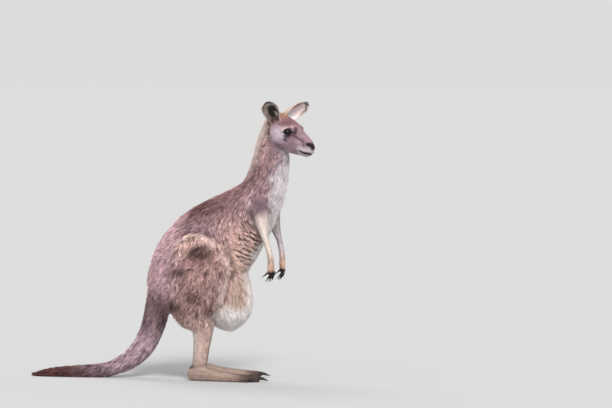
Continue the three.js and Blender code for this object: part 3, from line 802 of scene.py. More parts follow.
# Painted shade in the fold outside the haunch's rim, and in the hollow inside it.
outside = smoothstep(0.28, 0.32, z) * bell(edge - 0.011, 0.007)
lay_on((92, 64, 66), 0.65 * (trunk + thigh + 0.8 * pouch) * rim * outside)
within = smoothstep(0.48, 0.43, z) * bell(edge + 0.028, 0.014)
lay_on((108, 80, 77), 0.5 * thigh * rim * within)
rear = smoothstep(0.085, 0.005, x + 0.015 * swirls(co, 0.05, 12)) * smoothstep(0.28, 0.36, z)
lay_on((222, 184, 192), 0.85 * (thigh + trunk) * rear)
dapple, shaggy = swirls(co, 0.013, 21), trunk + thigh + tail
lay_on((88, 62, 61), 0.30 * shaggy * smoothstep(0.3, 1.3, dapple))
lay_on((218, 182, 176), 0.22 * shaggy * smoothstep(-0.3, -1.3, dapple))
ragged = 1 + 0.25 * swirls(co, 0.030, 18)
# Dark patches of hair on the haunch; the three lowest are painted shade.
for (ahead, high), (long, tall), strength in HAUNCH_SPOTS:
    spot = blot(co, (ahead, 0.15, high), (long, 0.16, tall)) * ragged
    lay_on((72, 50, 48), strength * (thigh + 0.3 * trunk) * np.clip(1.3 * spot, 0, 1))
lay_on((132, 110, 114), 0.7 * trunk * smoothstep(0.05, -0.02, x) * smoothstep(0.35, 0.27, z))

# The pouch is buff above and white below and in front, and the shank is white behind.
pouch_line = z + 0.4 * (x - 0.2) + 0.012 * swirls(co, 0.06, 7)
lay_on(WHITE, pouch * smoothstep(0.330, 0.270, pouch_line))
lay_on(WHITE, 0.8 * pouch * smoothstep(0.7, 0.95, normal[:, 0]))
lay_on(WHITE, 0.75 * shank * smoothstep(0.2, 0.8, -normal[:, 0]))

# The tail: dark at its root, paler where it bends, and nearly black at its end.
lay_on((122, 100, 108), tail * smoothstep(0.14, 0.24, z))
lay_on((188, 160, 169), 0.8 * tail * smoothstep(0.22, 0.15, z) * smoothstep(-0.28, -0.18, x))
lay_on((88, 55, 54), tail * smoothstep(-0.20, -0.44, x))

# Limbs: pale buff arms below the elbow, the left one greyer in painted shade, rust on the wrists,
# black paws, dark toes.
lay_on((160, 126, 136), 0.8 * arm * smoothstep(0.66, 0.70, z))
elbow = z - 0.3 * (x - 0.35) + 0.010 * swirls(co, 0.018, 24)
lay_on((252, 237, 227), 0.95 * (arm + forearm) * smoothstep(0.660, 0.605, elbow))
lay_on((118, 100, 112), arm * blot(co, (0.352, 0.09, 0.666), (0.048, 0.12, 0.044)))
# Painted shade: the far, left arm is darker and greyer.
lay_on((180, 167, 177), 0.8 * (arm + forearm) * (co[:, 1] > 0))
wrist = hand + forearm
lay_on((206, 168, 146), 0.9 * wrist * smoothstep(0.500, 0.440, z))
lay_on((36, 29, 29), wrist * smoothstep(0.427, 0.411, z + 0.003 * swirls(co, 0.015, 20)))
lay_on((60, 50, 48), 0.9 * foot * smoothstep(0.22, 0.31, x))

# The face, in the head's frame: a dark forehead, a lavender cheek, rust between the ears, a grizzled
# jaw, and pale lips and chin.
UPPER_LIP = ((0.186, 0.006, -0.012), (0.165, 0.025, -0.015), (0.145, 0.030, -0.018))
CHIN = ((0.180, 0.006, -0.028), (0.150, 0.018, -0.036))

local = to_head(co)
half = folded(local)
lay_on((142, 107, 109), head * smoothstep(0.02, 0.05, local[:, 2]) * smoothstep(0.11, 0.07, local[:, 0]))
lay_on((224, 204, 220), 0.9 * head * blot(local, (0.052, 0.055, -0.006), (0.052, 0.05, 0.048)))
lay_on(RUST, 0.95 * head * blot(local, (0.010, 0.0, 0.066), (0.052, 0.046, 0.040)))
grizzled = np.clip(0.55 + 0.6 * swirls(co, 0.012, 9), 0, 1)
lay_on((104, 90, 100), 0.8 * grizzled * head * blot(local, (0.072, 0.045, -0.046), (0.045, 0.04, 0.022)))
under = smoothstep(-0.036, -0.056, half[:, 2]) * smoothstep(0.06, 0.10, half[:, 0])
lay_on((206, 196, 204), 0.8 * head * under)
lay_on((208, 180, 194), 0.6 * head * blot(local, (0.128, 0.03, 0.006), (0.024, 0.03, 0.014)))
lay_on((216, 204, 210), 0.85 * head * smoothstep(0.018, 0.003, distance_to(UPPER_LIP, half)[0]))
lay_on((224, 214, 212), 0.8 * head * smoothstep(0.014, 0.006, distance_to(CHIN, half)[0]))

# Pale pink behind the cheek and up the nape, and a pale fringe down the back of the neck that is
# pale hair with painted rim light.
lay_on((226, 186, 186), 0.8 * neck * smoothstep(0.80, 0.90, z) * smoothstep(0.2, -0.3, normal[:, 0]))
nape = smoothstep(0.010, -0.010, local[:, 0]) * smoothstep(0.0, 0.03, half[:, 1])
lay_on((255, 236, 230), (head + neck) * nape * smoothstep(-0.05, 0.0, local[:, 2]))
# Painted rim light over pale hair along the back edge of the neck.
rim_lit_ridge = smoothstep(0.45, 0.90, -normal[:, 0] + 0.1 * swirls(co, 0.03, 17)) * smoothstep(0.74, 0.82, z)
lay_on((255, 234, 224), 0.9 * neck * rim_lit_ridge)

# Lines of the face as seen from its side: points forward and up, half width, colour and strength.
FACE_LINES = (
    (((0.055, 0.022), (0.066, 0.033), (0.088, 0.044)), 0.0060, (226, 194, 188), 0.70),  # over the eye
    (((0.098, 0.043), (0.104, 0.035), (0.105, 0.024)), 0.0056, (66, 42, 48), 0.85),  # ahead of it
    # The stripe from the eye to the nose, and its end.
    (((0.106, 0.018), (0.118, 0.012), (0.128, 0.012), (0.142, 0.012)), 0.0090, (94, 66, 82), 0.80),
    (((0.142, 0.010), (0.153, 0.004), (0.156, -0.006)), 0.0072, (84, 70, 82), 0.80),
    # The smudge under the eye, and its soft side.
    (((0.084, -0.010), (0.086, 0.000), (0.088, 0.010), (0.098, 0.014)), 0.0105, (66, 50, 60), 0.90),
    (((0.092, 0.006), (0.078, 0.004)), 0.0095, (92, 78, 92), 0.75),
    (((0.066, 0.055), (0.052, 0.044), (0.038, 0.031)), 0.0060, (132, 86, 90), 0.65),  # the temple
    (((0.017, 0.046), (0.023, 0.051)), 0.0060, (60, 40, 46), 0.85),  # ahead of the ear
    # Painted shade in the notch under the ear.
    (((-0.006, 0.040), (0.003, 0.031), (0.010, 0.020)), 0.0080, (42, 34, 38), 0.95),  # below it
    (((0.113, -0.011), (0.117, -0.014)), 0.0060, (130, 98, 116), 0.60),  # on the cheek
    # The next two lines are painted shade where the jaw meets the neck.
    (((0.003, 0.016), (0.014, -0.008), (0.026, -0.032)), 0.0055, (112, 74, 76), 0.85),  # behind the jaw
    (((0.026, -0.032), (0.040, -0.059)), 0.0055, (140, 104, 112), 0.60),  # and under it
)

face_side, flank = half[:, [0, 2]], smoothstep(0.014, 0.024, half[:, 1])
waver = 0.0016 * swirls(co, 0.009, 10)
for line, reach, tone, strength in FACE_LINES:
    away = distance_to(line, face_side)[0] + waver
    lay_on(tone, strength * head * flank * smoothstep(reach, 0.15 * reach, away))
coat_colour *= 1 + 0.075 * (head * swirls(co, 0.007, 22))[:, None]

# Bare black skin: round the eye and in its corners, on the nose, in the nostrils with painted shade in
# their openings, and on the lips.
EYE_CORNERS = (((0.090, 0.024), (0.0925, 0.0245)), ((0.060, 0.010), (0.066, 0.014)))
NOSE_PAD = ((0.164, 0.009), (0.174, 0.010), (0.185, 0.005))

_, away, lid, _ = lids(local)
lay_on(BLACK, head * smoothstep(0.0050, 0.0026, lid) * smoothstep(0.0090, 0.0050, away - EYE_RADIUS))
for corner in EYE_CORNERS:
    lay_on(BLACK, 0.8 * head * flank * smoothstep(0.0030, 0.0010, distance_to(corner, face_side)[0]))
nose = smoothstep(0.170, 0.178, half[:, 0]) * smoothstep(0.013, 0.009, half[:, 1])
nose *= smoothstep(-0.004, 0.001, half[:, 2])
nose = np.maximum(smoothstep(0.0080, 0.0045, distance_to(NOSE_PAD, face_side)[0]), nose)
lay_on((48, 38, 46), head * nose)
# The nostrils, blacker than the nose: bare skin with painted shade in their openings.
lay_on(BLACK, 0.9 * head * smoothstep(0.0050, 0.0028, distance_to(NOSTRIL, half)[0]))
lips = 0.0042 + 0.0022 * smoothstep(0.155, 0.170, half[:, 0])
lay_on(BLACK, 0.95 * head * smoothstep(lips, 0.4 * lips, mouth_distance(half)))

# The ears: rust backs, painted shade in the hollow inside the right one with pale hair at its root,
# the left one pale inside with a rust inner edge, a thin dark line inside the rim, pale edges and a
# dark tip.
EAR_BORDER = ((0.066, 0.028), (0.094, 0.022), (0.106, 0.002), (0.100, -0.012))  # along and aside


def ear_places(local, normal):
    """Over the ears: how far along each place lies, from 0 at the root to 1 at the tip, how far it is
    from the middle towards the outer edge, and how much it faces into the ear, from -1 to 1."""
    results = []
    for side, mirror in (("left", 1), ("right", -1)):
        axis, across, opening = ear_axes(side)
        offset = local - np.array(EAR_ROOT) * (1, mirror, 1)
        results.append((offset @ axis / EAR_LENGTH, -mirror * (offset @ across), normal @ opening))
    return [np.where(local[:, 1] > 0, left, right) for left, right in zip(*results)]


along, aside, inward = ear_places(local, normal @ HEAD_TURN)
inside = ear * smoothstep(0.05, 0.35, inward)
left_ear = local[:, 1] > 0
lay_on((196, 140, 110), 0.8 * (ear - inside) * smoothstep(0.85, 0.3, along))
lay_on((250, 232, 230), inside * left_ear)
lay_on((204, 190, 180), inside * ~left_ear)
# Painted shade in the hollow of the right ear's cup.
hollow = np.hypot((along - 0.30) / 0.42, (aside + 0.006) / 0.020) + 0.10 * swirls(co, 0.022, 19)
lay_on((50, 45, 47), 0.95 * inside * ~left_ear * smoothstep(1.10, 0.80, hollow))
tuft = smoothstep(0.007, 0.013, -aside) * smoothstep(0.04, 0.10, along) * smoothstep(0.34, 0.26, along)
lay_on((224, 220, 220), 0.95 * inside * ~left_ear * tuft)
lay_on((250, 246, 250), inside * left_ear * smoothstep(0.50, 0.28, along))
rust_edge = smoothstep(-0.004, -0.010, aside) * smoothstep(0.90, 0.70, along)
lay_on(RUST, 0.9 * inside * left_ear * rust_edge)
border = distance_to(EAR_BORDER, np.stack([along * EAR_LENGTH, aside], axis=1))[0]
lay_on((58, 46, 42), 0.85 * inside * smoothstep(0.0045, 0.0020, border))
lay_on((222, 206, 198), 0.85 * ear * smoothstep(0.020, 0.030, np.abs(aside)))
lay_on((48, 38, 38), 0.9 * ear * smoothstep(0.90, 0.985, along))

# ---------------------------------------------------------------- skin: finish
# The hide shows only between the tufts and where the fur is shortest. Its finish carries the coat's
# markings, darker under long fur for the hair's darker roots and as painted shade of the coat above
# it, broken by fine hair that runs in short streaks.


def set_colours(mesh, name, colours):
    """Keeps a colour for each vertex of a mesh."""
    layer = mesh.color_attributes.new(name, "FLOAT_COLOR", "POINT")
    rgba = np.ones((len(colours), 4), np.float32)
    rgba[:, :3] = colours
    layer.data.foreach_set("color", rgba.ravel())


def grizzle_effect():
    """A node group: light and dark hairs over a colour, and the relief that they make."""
    group = bpy.data.node_groups.new("grizzle", "ShaderNodeTree")
    for name, way, kind in (
        ("Colour", "INPUT", "Color"),
        ("Size", "INPUT", "Float"),
        ("Contrast", "INPUT", "Float"),
        ("Relief", "INPUT", "Float"),
        ("Colour", "OUTPUT", "Color"),
        ("Normal", "OUTPUT", "Vector"),
    ):
        group.interface.new_socket(name=name, in_out=way, socket_type="NodeSocket" + kind)

    def node(kind, operation=None, values=()):
        made = group.nodes.new(kind)
        if operation:
            made.operation = operation
        for socket, value in values:
            made.inputs[socket].default_value = value
        return made

    given, result, place = node("NodeGroupInput"), node("NodeGroupOutput"), node("ShaderNodeTexCoord")
    scale = node("ShaderNodeMath", "DIVIDE", [(0, 1)])
    hairs = node("ShaderNodeTexNoise", values=[("Detail", 3), ("Roughness", 0.7)])
    centred = node("ShaderNodeMath", "SUBTRACT", [(1, 0.5)])
    factor = node("ShaderNodeMath", "MULTIPLY_ADD", [(2, 1)])
    mixed = node("ShaderNodeVectorMath", "SCALE")
    bump = node("ShaderNodeBump", values=[("Strength", 0.6)])
    for source, output, target, into in (
        (given, "Size", scale, 1),
        (place, "Object", hairs, "Vector"),
        (scale, "Value", hairs, "Scale"),
        (hairs, "Fac", centred, 0),
        (centred, "Value", factor, 0),
        (given, "Contrast", factor, 1),
        (given, "Colour", mixed, 0),
        (factor, "Value", mixed, "Scale"),
        (mixed, "Vector", result, "Colour"),
        (hairs, "Fac", bump, "Height"),
        (given, "Relief", bump, "Distance"),
        (bump, "Normal", result, "Normal"),
    ):
        group.links.new(source.outputs[output], target.inputs[into])
    return group


def fur_finish(name, size, contrast, relief, roughness):
    """Hair: the painted colour under grizzle, with a faint dry sheen."""
    material, tree, shader = material_of(name)
    painted = tree.nodes.new("ShaderNodeAttribute")
    painted.attribute_name = "markings"
    hairs = tree.nodes.new("ShaderNodeGroup")
    hairs.node_tree = grizzle
    for socket, value in (("Size", size), ("Contrast", contrast), ("Relief", relief)):
        hairs.inputs[socket].default_value = value
    tree.links.new(painted.outputs["Color"], hairs.inputs["Colour"])
    tree.links.new(hairs.outputs["Colour"], shader.inputs["Base Color"])
    tree.links.new(hairs.outputs["Normal"], shader.inputs["Normal"])
    shader.inputs["Roughness"].default_value = roughness
    shader.inputs["Specular IOR Level"].default_value = 0.2
    return material


grizzle = grizzle_effect()
ROOT_SHADE, SHORT_SHADE = 0.52, 0.92  # how dark the hide is under long hair and under short
skin_mesh = mesh_from("skin", skin.co, skin.faces)
short_haired = skin.on(("head", "eye", "ear", "hand", "foot", "shank", "forearm"))
# Painted shade under the coat: the hide is darkest under long hair, less so under short and white fur.
under = ROOT_SHADE + (SHORT_SHADE - ROOT_SHADE) * skin.spread(short_haired, 8)
under = np.maximum(under, smoothstep(0.3, 0.6, coat_colour[:, 1]))  # white fur lets light through
set_colours(skin_mesh, "markings", coat_colour * under[:, None])
skin_finish = fur_finish("short_fur", size=0.0020, contrast=1.1, relief=0.0008, roughness=0.85)
hide_piece = link_object("skin", skin_mesh, skin_finish)
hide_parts(*[name for name in nodes if not name.startswith(("claw_", "eye_"))])
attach(hide_piece, "root")

# ---------------------------------------------------------------- coat
# Locks of guard hair over the hide. Each is a thin closed spindle that leaves the skin steeply, bends
# and lies back along the body, and its tip draws in towards its neighbours' to make a clump.
LAY = {  # which way the hair lies, part by part
    "trunk": (-0.60, 0, -0.80),
    "thigh": (-0.35, 0, -0.94),
    "pouch": (0.05, 0, -1),
    "neck": (-0.10, 0, -1),
    "upper_arm": (0.05, 0, -1),
    "forearm": (0.12, 0, -1),
    "hand": (-0.1, 0, -1),
    "shank": (-0.2, 0, -1),
    "foot": (1, 0, -0.1),
    "tail_root": (-0.35, 0, -0.94),
    "tail_middle": (-0.80, 0, -0.45),
    "tail_tip": (-1, 0, -0.05),
}
HEAD_LAY = (-1, 0, -0.25)  # in the head's frame
FLANK_LAY = (0.78, 0, -0.62)  # towards the belly, ahead of the haunch
HAIR = {  # length of the hair on each part
    "trunk": 0.019,
    "thigh": 0.022,
    "pouch": 0.022,
    "neck": 0.0135,
    "tail": 0.020,
    "upper_arm": 0.012,
    "shank": 0.0105,
    "forearm": 0.0095,
    "foot": 0.007,
    "head": 0.0075,
    "eye": 0.003,
    "ear": 0.0045,
    "hand": 0.0035,
}
STANDING_LONGER, STANDING_HIGHER = 0.7, 0.0065  # the share longer, and how much further off the hide

lay = sum(skin.on(name)[:, None] * unit(way) for name, way in LAY.items())
lay += skin.on(HEAD)[:, None] * (np.array(HEAD_LAY) @ HEAD_TURN.T)
turning = skin.on("trunk") * smoothstep(0.10, 0.24, x) * smoothstep(0.70, 0.58, z)
turning *= smoothstep(0.9, 0.5, normal[:, 2])
lay += turning[:, None] * (np.array(FLANK_LAY) - unit(LAY["trunk"]))
for side in EAR_POSES:
    lay += skin.on("ear_" + side)[:, None] * (ear_axes(side)[0] @ HEAD_TURN.T)
lay = skin.spread(lay, 25)
tousled = 0.50 * skin.on("thigh") + 0.22 * skin.on(("trunk", "pouch", "neck", "tail"))
lay += np.cross(normal, lay) * (skin.spread(tousled, 8) * swirls(skin.co, 0.050, 23))[:, None]
lay = unit(lay - normal * (lay * normal).sum(axis=1)[:, None])
hair = skin.spread(by_part(HAIR), 10)
hair *= 1 - 0.40 * smoothstep(0.0, 0.4, flank_waves(skin.co)[0])  # shorter, so that the folds show
soft_normal = unit(skin.spread(normal, 4))

# It stands out in a mane down the nape, on the breast and on the crown between the ears.
mane = skin.on("neck") * smoothstep(0.30, 0.80, -normal[:, 0]) * smoothstep(0.74, 0.84, z)
breast = skin.on(("neck", "trunk")) * smoothstep(0.75, 0.95, normal[:, 0]) * smoothstep(0.60, 0.66, z)
crown = skin.on(HEAD) * blot(to_head(skin.co), (0.002, 0, 0.058), (0.036, 0.040, 0.034))
standing = skin.spread(mane + 0.4 * breast + crown, 3)
hair *= 1 + STANDING_LONGER * standing


def bending():
    """How fast the skin turns away along the lay of the hair, in turns of the normal per metre."""
    first, second = skin.ends.T
    step = skin.co[second] - skin.co[first]
    turn = soft_normal[second] - soft_normal[first]
    run = (step * lay[first]).sum(axis=1)
    turned = (turn * lay[first]).sum(axis=1)
    total = np.bincount(first, run * turned, len(skin.co))
    return np.clip(skin.spread(total / np.bincount(first, run * run + 1e-12, len(skin.co)), 6), -15, 70)


bend = bending()


TAIL_MIDDLE = (  # the middle line of the tail: how far forward, and how high
    (-0.45, -0.32, -0.24, -0.16, -0.11, -0.05),
    (0.02, 0.026, 0.035, 0.08, 0.14, 0.28),
)
TAIL_SIDE = -0.01  # and how far to the left
HEAD_BACK, HEAD_LENGTH, HEAD_AXIS = -0.04, 0.24, -0.004  # its middle line runs at this height
EAR_HALF = 0.032  # the half width of an ear
TRUNK_LEAN = 0.55  # how far the middle of the trunk moves forward as it rises


def coat_map(name, roots, normals):
    """The place of each root on the unrolled skin, both numbers from 0 to 1."""
    low, high = roots.min(axis=0), roots.max(axis=0)
    if name.startswith("ear"):
        along, aside, inward = ear_places(to_head(roots), normals @ HEAD_TURN)
        face = np.where(inward > 0, -0.25, 0.25)
        return 0.5 + face + 0.24 * np.clip(aside / EAR_HALF, -1, 1), along
    if name.startswith("head"):
        local = to_head(roots)
        angle = np.arctan2(local[:, 1], local[:, 2] - HEAD_AXIS)
        along = (local[:, 0] - HEAD_BACK) / HEAD_LENGTH
    elif name.startswith("tail"):
        angle = np.arctan2(roots[:, 1] - TAIL_SIDE, roots[:, 2] - np.interp(roots[:, 0], *TAIL_MIDDLE))
        along = (roots[:, 0] - low[0]) / (high[0] - low[0])
    else:
        middle = (low + high) / 2
        lean = TRUNK_LEAN if name.startswith("trunk") else 0.0
        ahead = roots[:, 0] - middle[0] - lean * (roots[:, 2] - middle[2])
        angle = np.arctan2(roots[:, 1] - (middle[1] if abs(middle[1]) > 0.03 else 0), ahead)
        along = (roots[:, 2] - low[2]) / (high[2] - low[2])
    return 0.5 + angle / (2 * math.pi), along


ROOT, BEND, TIP = 0, 1, 2
# The corners of a lock: where along it, how far aside, up and ahead over its width, how light, and how
# far aside and along on its patch of the map.
LONG_LOCK = (
    (ROOT, -0.50, 0.0, 0, 0.60, -1.0, -1.0),
    (ROOT, 0.50, 0.0, 0, 0.60, 1.0, -1.0),
    (ROOT, 0.00, 0.4, 0, 0.64, 0.0, -1.0),
    (BEND, -0.42, 0.0, 0, 0.96, -0.9, 0.0),
    (BEND, 0.42, 0.0, 0, 0.96, 0.9, 0.0),
    (BEND, 0.00, 0.4, 0, 1.00, 0.0, 0.1),
    (TIP, 0.00, 0.0, 0, 1.18, 0.0, 1.0),
)
LONG_FACES = (
    ((0, 2, 1), (0, 4, 3), (0, 1, 4), (1, 5, 4), (1, 2, 5))
    + ((2, 3, 5), (2, 0, 3), (3, 4, 6), (4, 5, 6), (5, 3, 6))
)
SHORT_LOCK = (
    (ROOT, -0.50, 0, 0.0, 0.88, -1.0, -1.0),
    (ROOT, 0.50, 0, 0.0, 0.88, 1.0, -1.0),
    (ROOT, 0.00, 0, 0.5, 0.88, 0.2, -0.6),
    (TIP, 0.00, 0, 0.0, 1.14, 0.0, 1.0),
)
SHORT_FACES = ((0, 2, 3), (2, 1, 3), (1, 0, 3), (0, 1, 2))
ROOT_SUNK = 0.0006  # how deep a lock starts in the hide
FLOOR_GAP = 0.0004  # how far the lowest hair stays off the floor
STRAY_SHARE, STRAY_RISE = 0.06, 1.5  # some hairs stand out of the coat
PATCH = 0.0015  # half the length of a lock's patch of the map
MAP_EDGE = 0.005


def strewn(random, density, spacing):
    """Roots strewn over the hide: their number, and a way to read there what each vertex keeps."""
    corners = skin.faces
    a, b, c = (skin.co[corners[:, k]] for k in range(3))
    area = np.linalg.norm(np.cross(b - a, c - a), axis=1) / 2 * density[corners].mean(axis=1)
    running = np.cumsum(area)
    count = int(running[-1] / spacing)
    picks = (np.arange(count) + random.random(count)) / count * running[-1]
    face = np.minimum(np.searchsorted(running, picks), len(corners) - 1)
    u, v = random.random(count), random.random(count)
    over = u + v > 1
    u[over], v[over] = 1 - u[over], 1 - v[over]
    share = np.stack([1 - u - v, u, v], axis=1)[:, :, None]

    def at(values):
        picked = values[corners[face]]
        return (picked * (share if values.ndim > 1 else share[:, :, 0])).sum(axis=1)

    return count, at


def laid(root, up, way, rate, run, height):
    """Places above the skin so far along locks that lie on it, and the way out from the skin there. rate
    is how fast the skin turns away under them."""
    turn = np.clip(rate * run, -1.2, 1.2)
    ahead, drop = np.sin(turn) / rate, (1 - np.cos(turn)) / rate
    outward = up * np.cos(turn)[:, None] + way * np.sin(turn)[:, None]
    onward = way * np.cos(turn)[:, None] - up * np.sin(turn)[:, None]
    beyond = run - np.abs(turn / rate)
    place = root + way * ahead[:, None] - up * drop[:, None]
    return place + onward * beyond[:, None] + outward * height[:, None], outward


def leaders_of(random, root, way, share):
    """The leader of each lock's clump. Clumps are long and narrow, so a lock joins one near it to the
    side."""
    leaders = np.nonzero(random.random(len(root)) < share)[0]
    mean_way = unit(way.mean(axis=0) + 1e-6)
    squeezed = root - 0.40 * (root @ mean_way)[:, None] * mean_way
    tree = KDTree(len(leaders))
    for number, place in enumerate(squeezed[leaders]):
        tree.insert(place, number)
    tree.balance()
    return leaders[[tree.find(place)[1] for place in squeezed]]


def locks(name, density, spacing, width, clump, tone, seed, short=False):
    """One piece of the coat. density is where it grows, from 0 to 1, spacing the skin that each lock
    has to itself, clump how many locks lead a clump and how far the rest are drawn to them, and
    tone how much light and dark differ."""
    random = np.random.default_rng(seed)
    count, at = strewn(random, density, spacing)
    root, up, way = at(skin.co), unit(at(soft_normal)), at(lay)
    way = unit(way - up * (way * up).sum(axis=1)[:, None])
    aside = np.cross(up, way)
    swing = random.normal(0, 0.14, count)
    way, aside = (
        way * np.cos(swing)[:, None] + aside * np.sin(swing)[:, None],
        aside * np.cos(swing)[:, None] - way * np.sin(swing)[:, None],
    )
    length = at(hair) * random.uniform(0.75, 1.15, count)
    rate = at(bend)
    rate = np.where(np.abs(rate) < 1, np.where(rate < 0, -1, 1), rate)
    deep = at(coat_depth) * random.uniform(0.75, 1.1, count)
    deep *= np.where(random.random(count) < STRAY_SHARE, STRAY_RISE, 1.0)
    middle, middle_up = laid(root, up, way, rate, 0.5 * length, deep * 0.72)
    tip, tip_up = laid(root, up, way, rate, length, deep)

    # Each lock is drawn sideways to its leader, and shares its tone.
    leader = leaders_of(random, root, way, clump[0])
    pull = ((tip[leader] - tip) * aside).sum(axis=1) * clump[1] * random.uniform(0.5, 1.1, count)
    pull = np.clip(pull, -0.6 * length, 0.6 * length)[:, None]
    tip = tip + aside * pull
    middle = middle + aside * pull * 0.45
    clump_tone = random.normal(0, 1, count)[leader]
    pale = smoothstep(0.40, 0.75, at(coat_colour)[:, 1])  # pale fur is more even
    tone_range = tone * (1 - 0.5 * pale)
    hair_tone = np.clip(1 + tone_range * (clump_tone + random.normal(0, 0.6, count)), 0.4, 1.7)

    # Its corners, its colours and its patch of the map.
    wide = width * random.uniform(0.7, 1.25, count)[:, None]
    shape = np.array(SHORT_LOCK if short else LONG_LOCK)
    faces = np.array(SHORT_FACES if short else LONG_FACES)
    tones, across, onward = shape[:, 4:].T
    stations = ((root - up * ROOT_SUNK, up), (middle, middle_up), (tip, tip_up))
    points, facing = [], []
    for station, sideways, upward, ahead in shape[:, :4]:
        place, outward = stations[int(station)]
        points.append(place + aside * wide * sideways + up * wide * upward + way * wide * ahead)
        facing.append(outward)
    points, facing = np.stack(points, axis=1), np.stack(facing, axis=1)
    points[:, :, 2] = np.maximum(points[:, :, 2], FLOOR_GAP)
    all_faces = (faces[None] + (np.arange(count) * len(shape))[:, None, None]).reshape(-1, 3)
    mesh = mesh_from(name, points.reshape(-1, 3), all_faces)
    tones = tones + (1 - tones) * 0.5 * pale[:, None]
    colours = at(coat_colour)[:, None, :] * (tones * hair_tone[:, None])[:, :, None]
    set_colours(mesh, "markings", colours.reshape(-1, 3))
    u, v = (np.clip(number, MAP_EDGE, 1 - MAP_EDGE)[:, None] for number in coat_map(name, root, up))
    uv = np.stack([u + across[None] * PATCH * 0.8, v + onward[None] * PATCH], axis=2).reshape(-1, 2)
    layer = mesh.uv_layers.new(name="OFBake")
    layer.data.foreach_set("uv", uv[all_faces.ravel()].astype(np.float32).ravel())
    piece = link_object(name, mesh, lock_finish)

    # Light falls on a lock much as on the skin below it, a little to one side or the other.
    tilt = aside * random.normal(0, 0.30, count)[:, None] + way * random.normal(0.05, 0.18, count)[:, None]
    facing = facing + tilt[:, None] + across[None, :, None] * 0.35 * aside[:, None]
    mesh.normals_split_custom_set_from_vertices(unit(facing).reshape(-1, 3))
    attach(piece, "root")


lock_finish = fur_finish("guard_hair", size=0.0045, contrast=0.5, relief=0.0006, roughness=0.75)
coat_depth = skin.spread(by_part(COAT_DEPTHS), 12)
coat_depth += STANDING_HIGHER * standing
MM2 = 1e-6


def growth(*names):
    """Where hair grows that belongs to the named parts, thinning out over their edges."""
    return skin.spread(skin.on(names), 1)


back = smoothstep(-0.1, 0.1, skin.co[:, 2] - 0.53)
# The name, where it grows, the skin to each lock, its width, its clumps, its tones and its seed.
locks("trunk_upper", growth("trunk") * back, 9.3 * MM2, 0.0027, (0.14, 0.60), 0.27, 11)
locks("trunk_lower", growth("trunk") * (1 - back), 9.3 * MM2, 0.0027, (0.14, 0.55), 0.19, 12)
locks("haunch_left", growth("thigh_left"), 6.0 * MM2, 0.0023, (0.12, 0.65), 0.30, 21)
locks("haunch_right", growth("thigh_right"), 6.0 * MM2, 0.0023, (0.12, 0.65), 0.30, 22)
locks("neck_coat", growth("neck"), 3.9 * MM2, 0.0016, (0.09, 0.6), 0.26, 31)
locks("pouch_coat", growth("pouch"), 7.5 * MM2, 0.0022, (0.06, 0.6), 0.14, 41)
locks("tail_coat", growth("tail"), 7 * MM2, 0.0021, (0.10, 0.6), 0.33, 51)
arms, legs = growth("upper_arm", "forearm", "hand"), growth("shank", "foot")
locks("arm_coat", arms, 2.6 * MM2, 0.0012, (0.05, 0.45), 0.13, 61, short=True)
locks("leg_coat", legs, 3.2 * MM2, 0.0013, (0.05, 0.45), 0.15, 62, short=True)
face = skin.on("head") * smoothstep(-0.0005, 0.004, lids(to_head(skin.co))[2])
locks("head_coat", face, 1.7 * MM2, 0.0009, (0.04, 0.3), 0.09, 71, short=True)
for number, side in enumerate(("left", "right")):
    on_ear = skin.on("ear_" + side)
    locks("ear_coat_" + side, on_ear, 1.8 * MM2, 0.0009, (0.04, 0.3), 0.08, 81 + number, short=True)

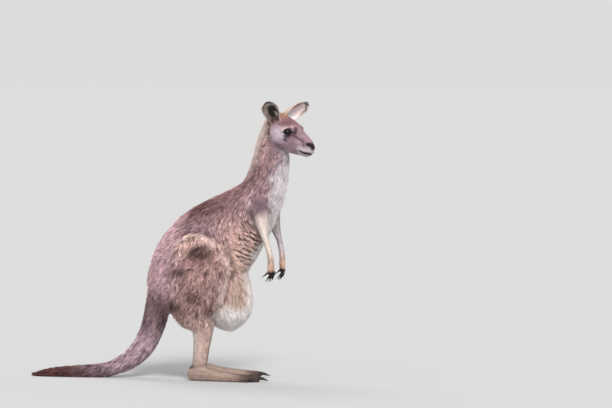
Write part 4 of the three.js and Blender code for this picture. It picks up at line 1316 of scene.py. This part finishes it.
# ---------------------------------------------------------------- eyes
# Taxidermist's glass: a ball with a wide black pupil in a dark brown iris, polished but a little dulled
# by dust. It fills the socket that the skin leaves behind the lids.
PUPIL, IRIS = 0.85, 1.15  # how far round the ball from its front, in radians
PUPIL_BLUR, IRIS_BLUR = 0.06, 0.15
EYE_COLOURS = (shade(14, 11, 12), shade(44, 31, 27), shade(20, 15, 15))  # pupil, iris and its edge

glass, tree, shader = material_of("eye_glass")
shader.inputs["Roughness"].default_value = 0.06
shader.inputs["Specular IOR Level"].default_value = 0.25
painted = tree.nodes.new("ShaderNodeAttribute")
painted.attribute_name = "markings"
tree.links.new(painted.outputs["Color"], shader.inputs["Base Color"])
for side in EAR_POSES:
    mirror = np.array((1, 1 if side == "left" else -1, 1))
    ball = bmesh.new()
    bmesh.ops.create_uvsphere(ball, u_segments=72, v_segments=48, radius=EYE_RADIUS)
    mesh = bpy.data.meshes.new("eye_ball_" + side)
    ball.to_mesh(mesh)
    ball.free()
    forward = (unit(EYE_OUT) * mirror) @ HEAD_TURN.T
    turn = np.arccos(np.clip(unit(coordinates(mesh)) @ forward, -1, 1))
    pupil, iris, rim = EYE_COLOURS
    tone = pupil + (iris - pupil) * smoothstep(PUPIL - PUPIL_BLUR, PUPIL + PUPIL_BLUR, turn)[:, None]
    tone = tone + (rim - tone) * smoothstep(IRIS - IRIS_BLUR, IRIS, turn)[:, None]
    set_colours(mesh, "markings", tone)
    mesh.transform(Matrix.Translation(Vector(to_world(np.array(EYE_PLACE) * mirror))))
    piece = link_object("eye_ball_" + side, mesh, glass)
    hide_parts("eye_" + side)
    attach(piece, "root")

# ---------------------------------------------------------------- claws
# Black horn with a fine pale grain, one claw on each finger and toe. The solids' own forms are kept,
# and the horn is laid over them.
horn, tree, shader = material_of("claw_horn")
shader.inputs["Roughness"].default_value = 0.35
grain = tree.nodes.new("ShaderNodeTexNoise")
grain.inputs["Scale"].default_value = 420
ramp = tree.nodes.new("ShaderNodeMix")
ramp.data_type = "RGBA"
ramp.inputs["A"].default_value = (0.008, 0.007, 0.007, 1)
ramp.inputs["B"].default_value = (0.035, 0.029, 0.026, 1)
tree.links.new(grain.outputs["Fac"], ramp.inputs["Factor"])
tree.links.new(ramp.outputs["Result"], shader.inputs["Base Color"])
for name in nodes:
    if name.startswith("claw_"):
        for slot in nodes[name].material_slots:
            slot.material = horn
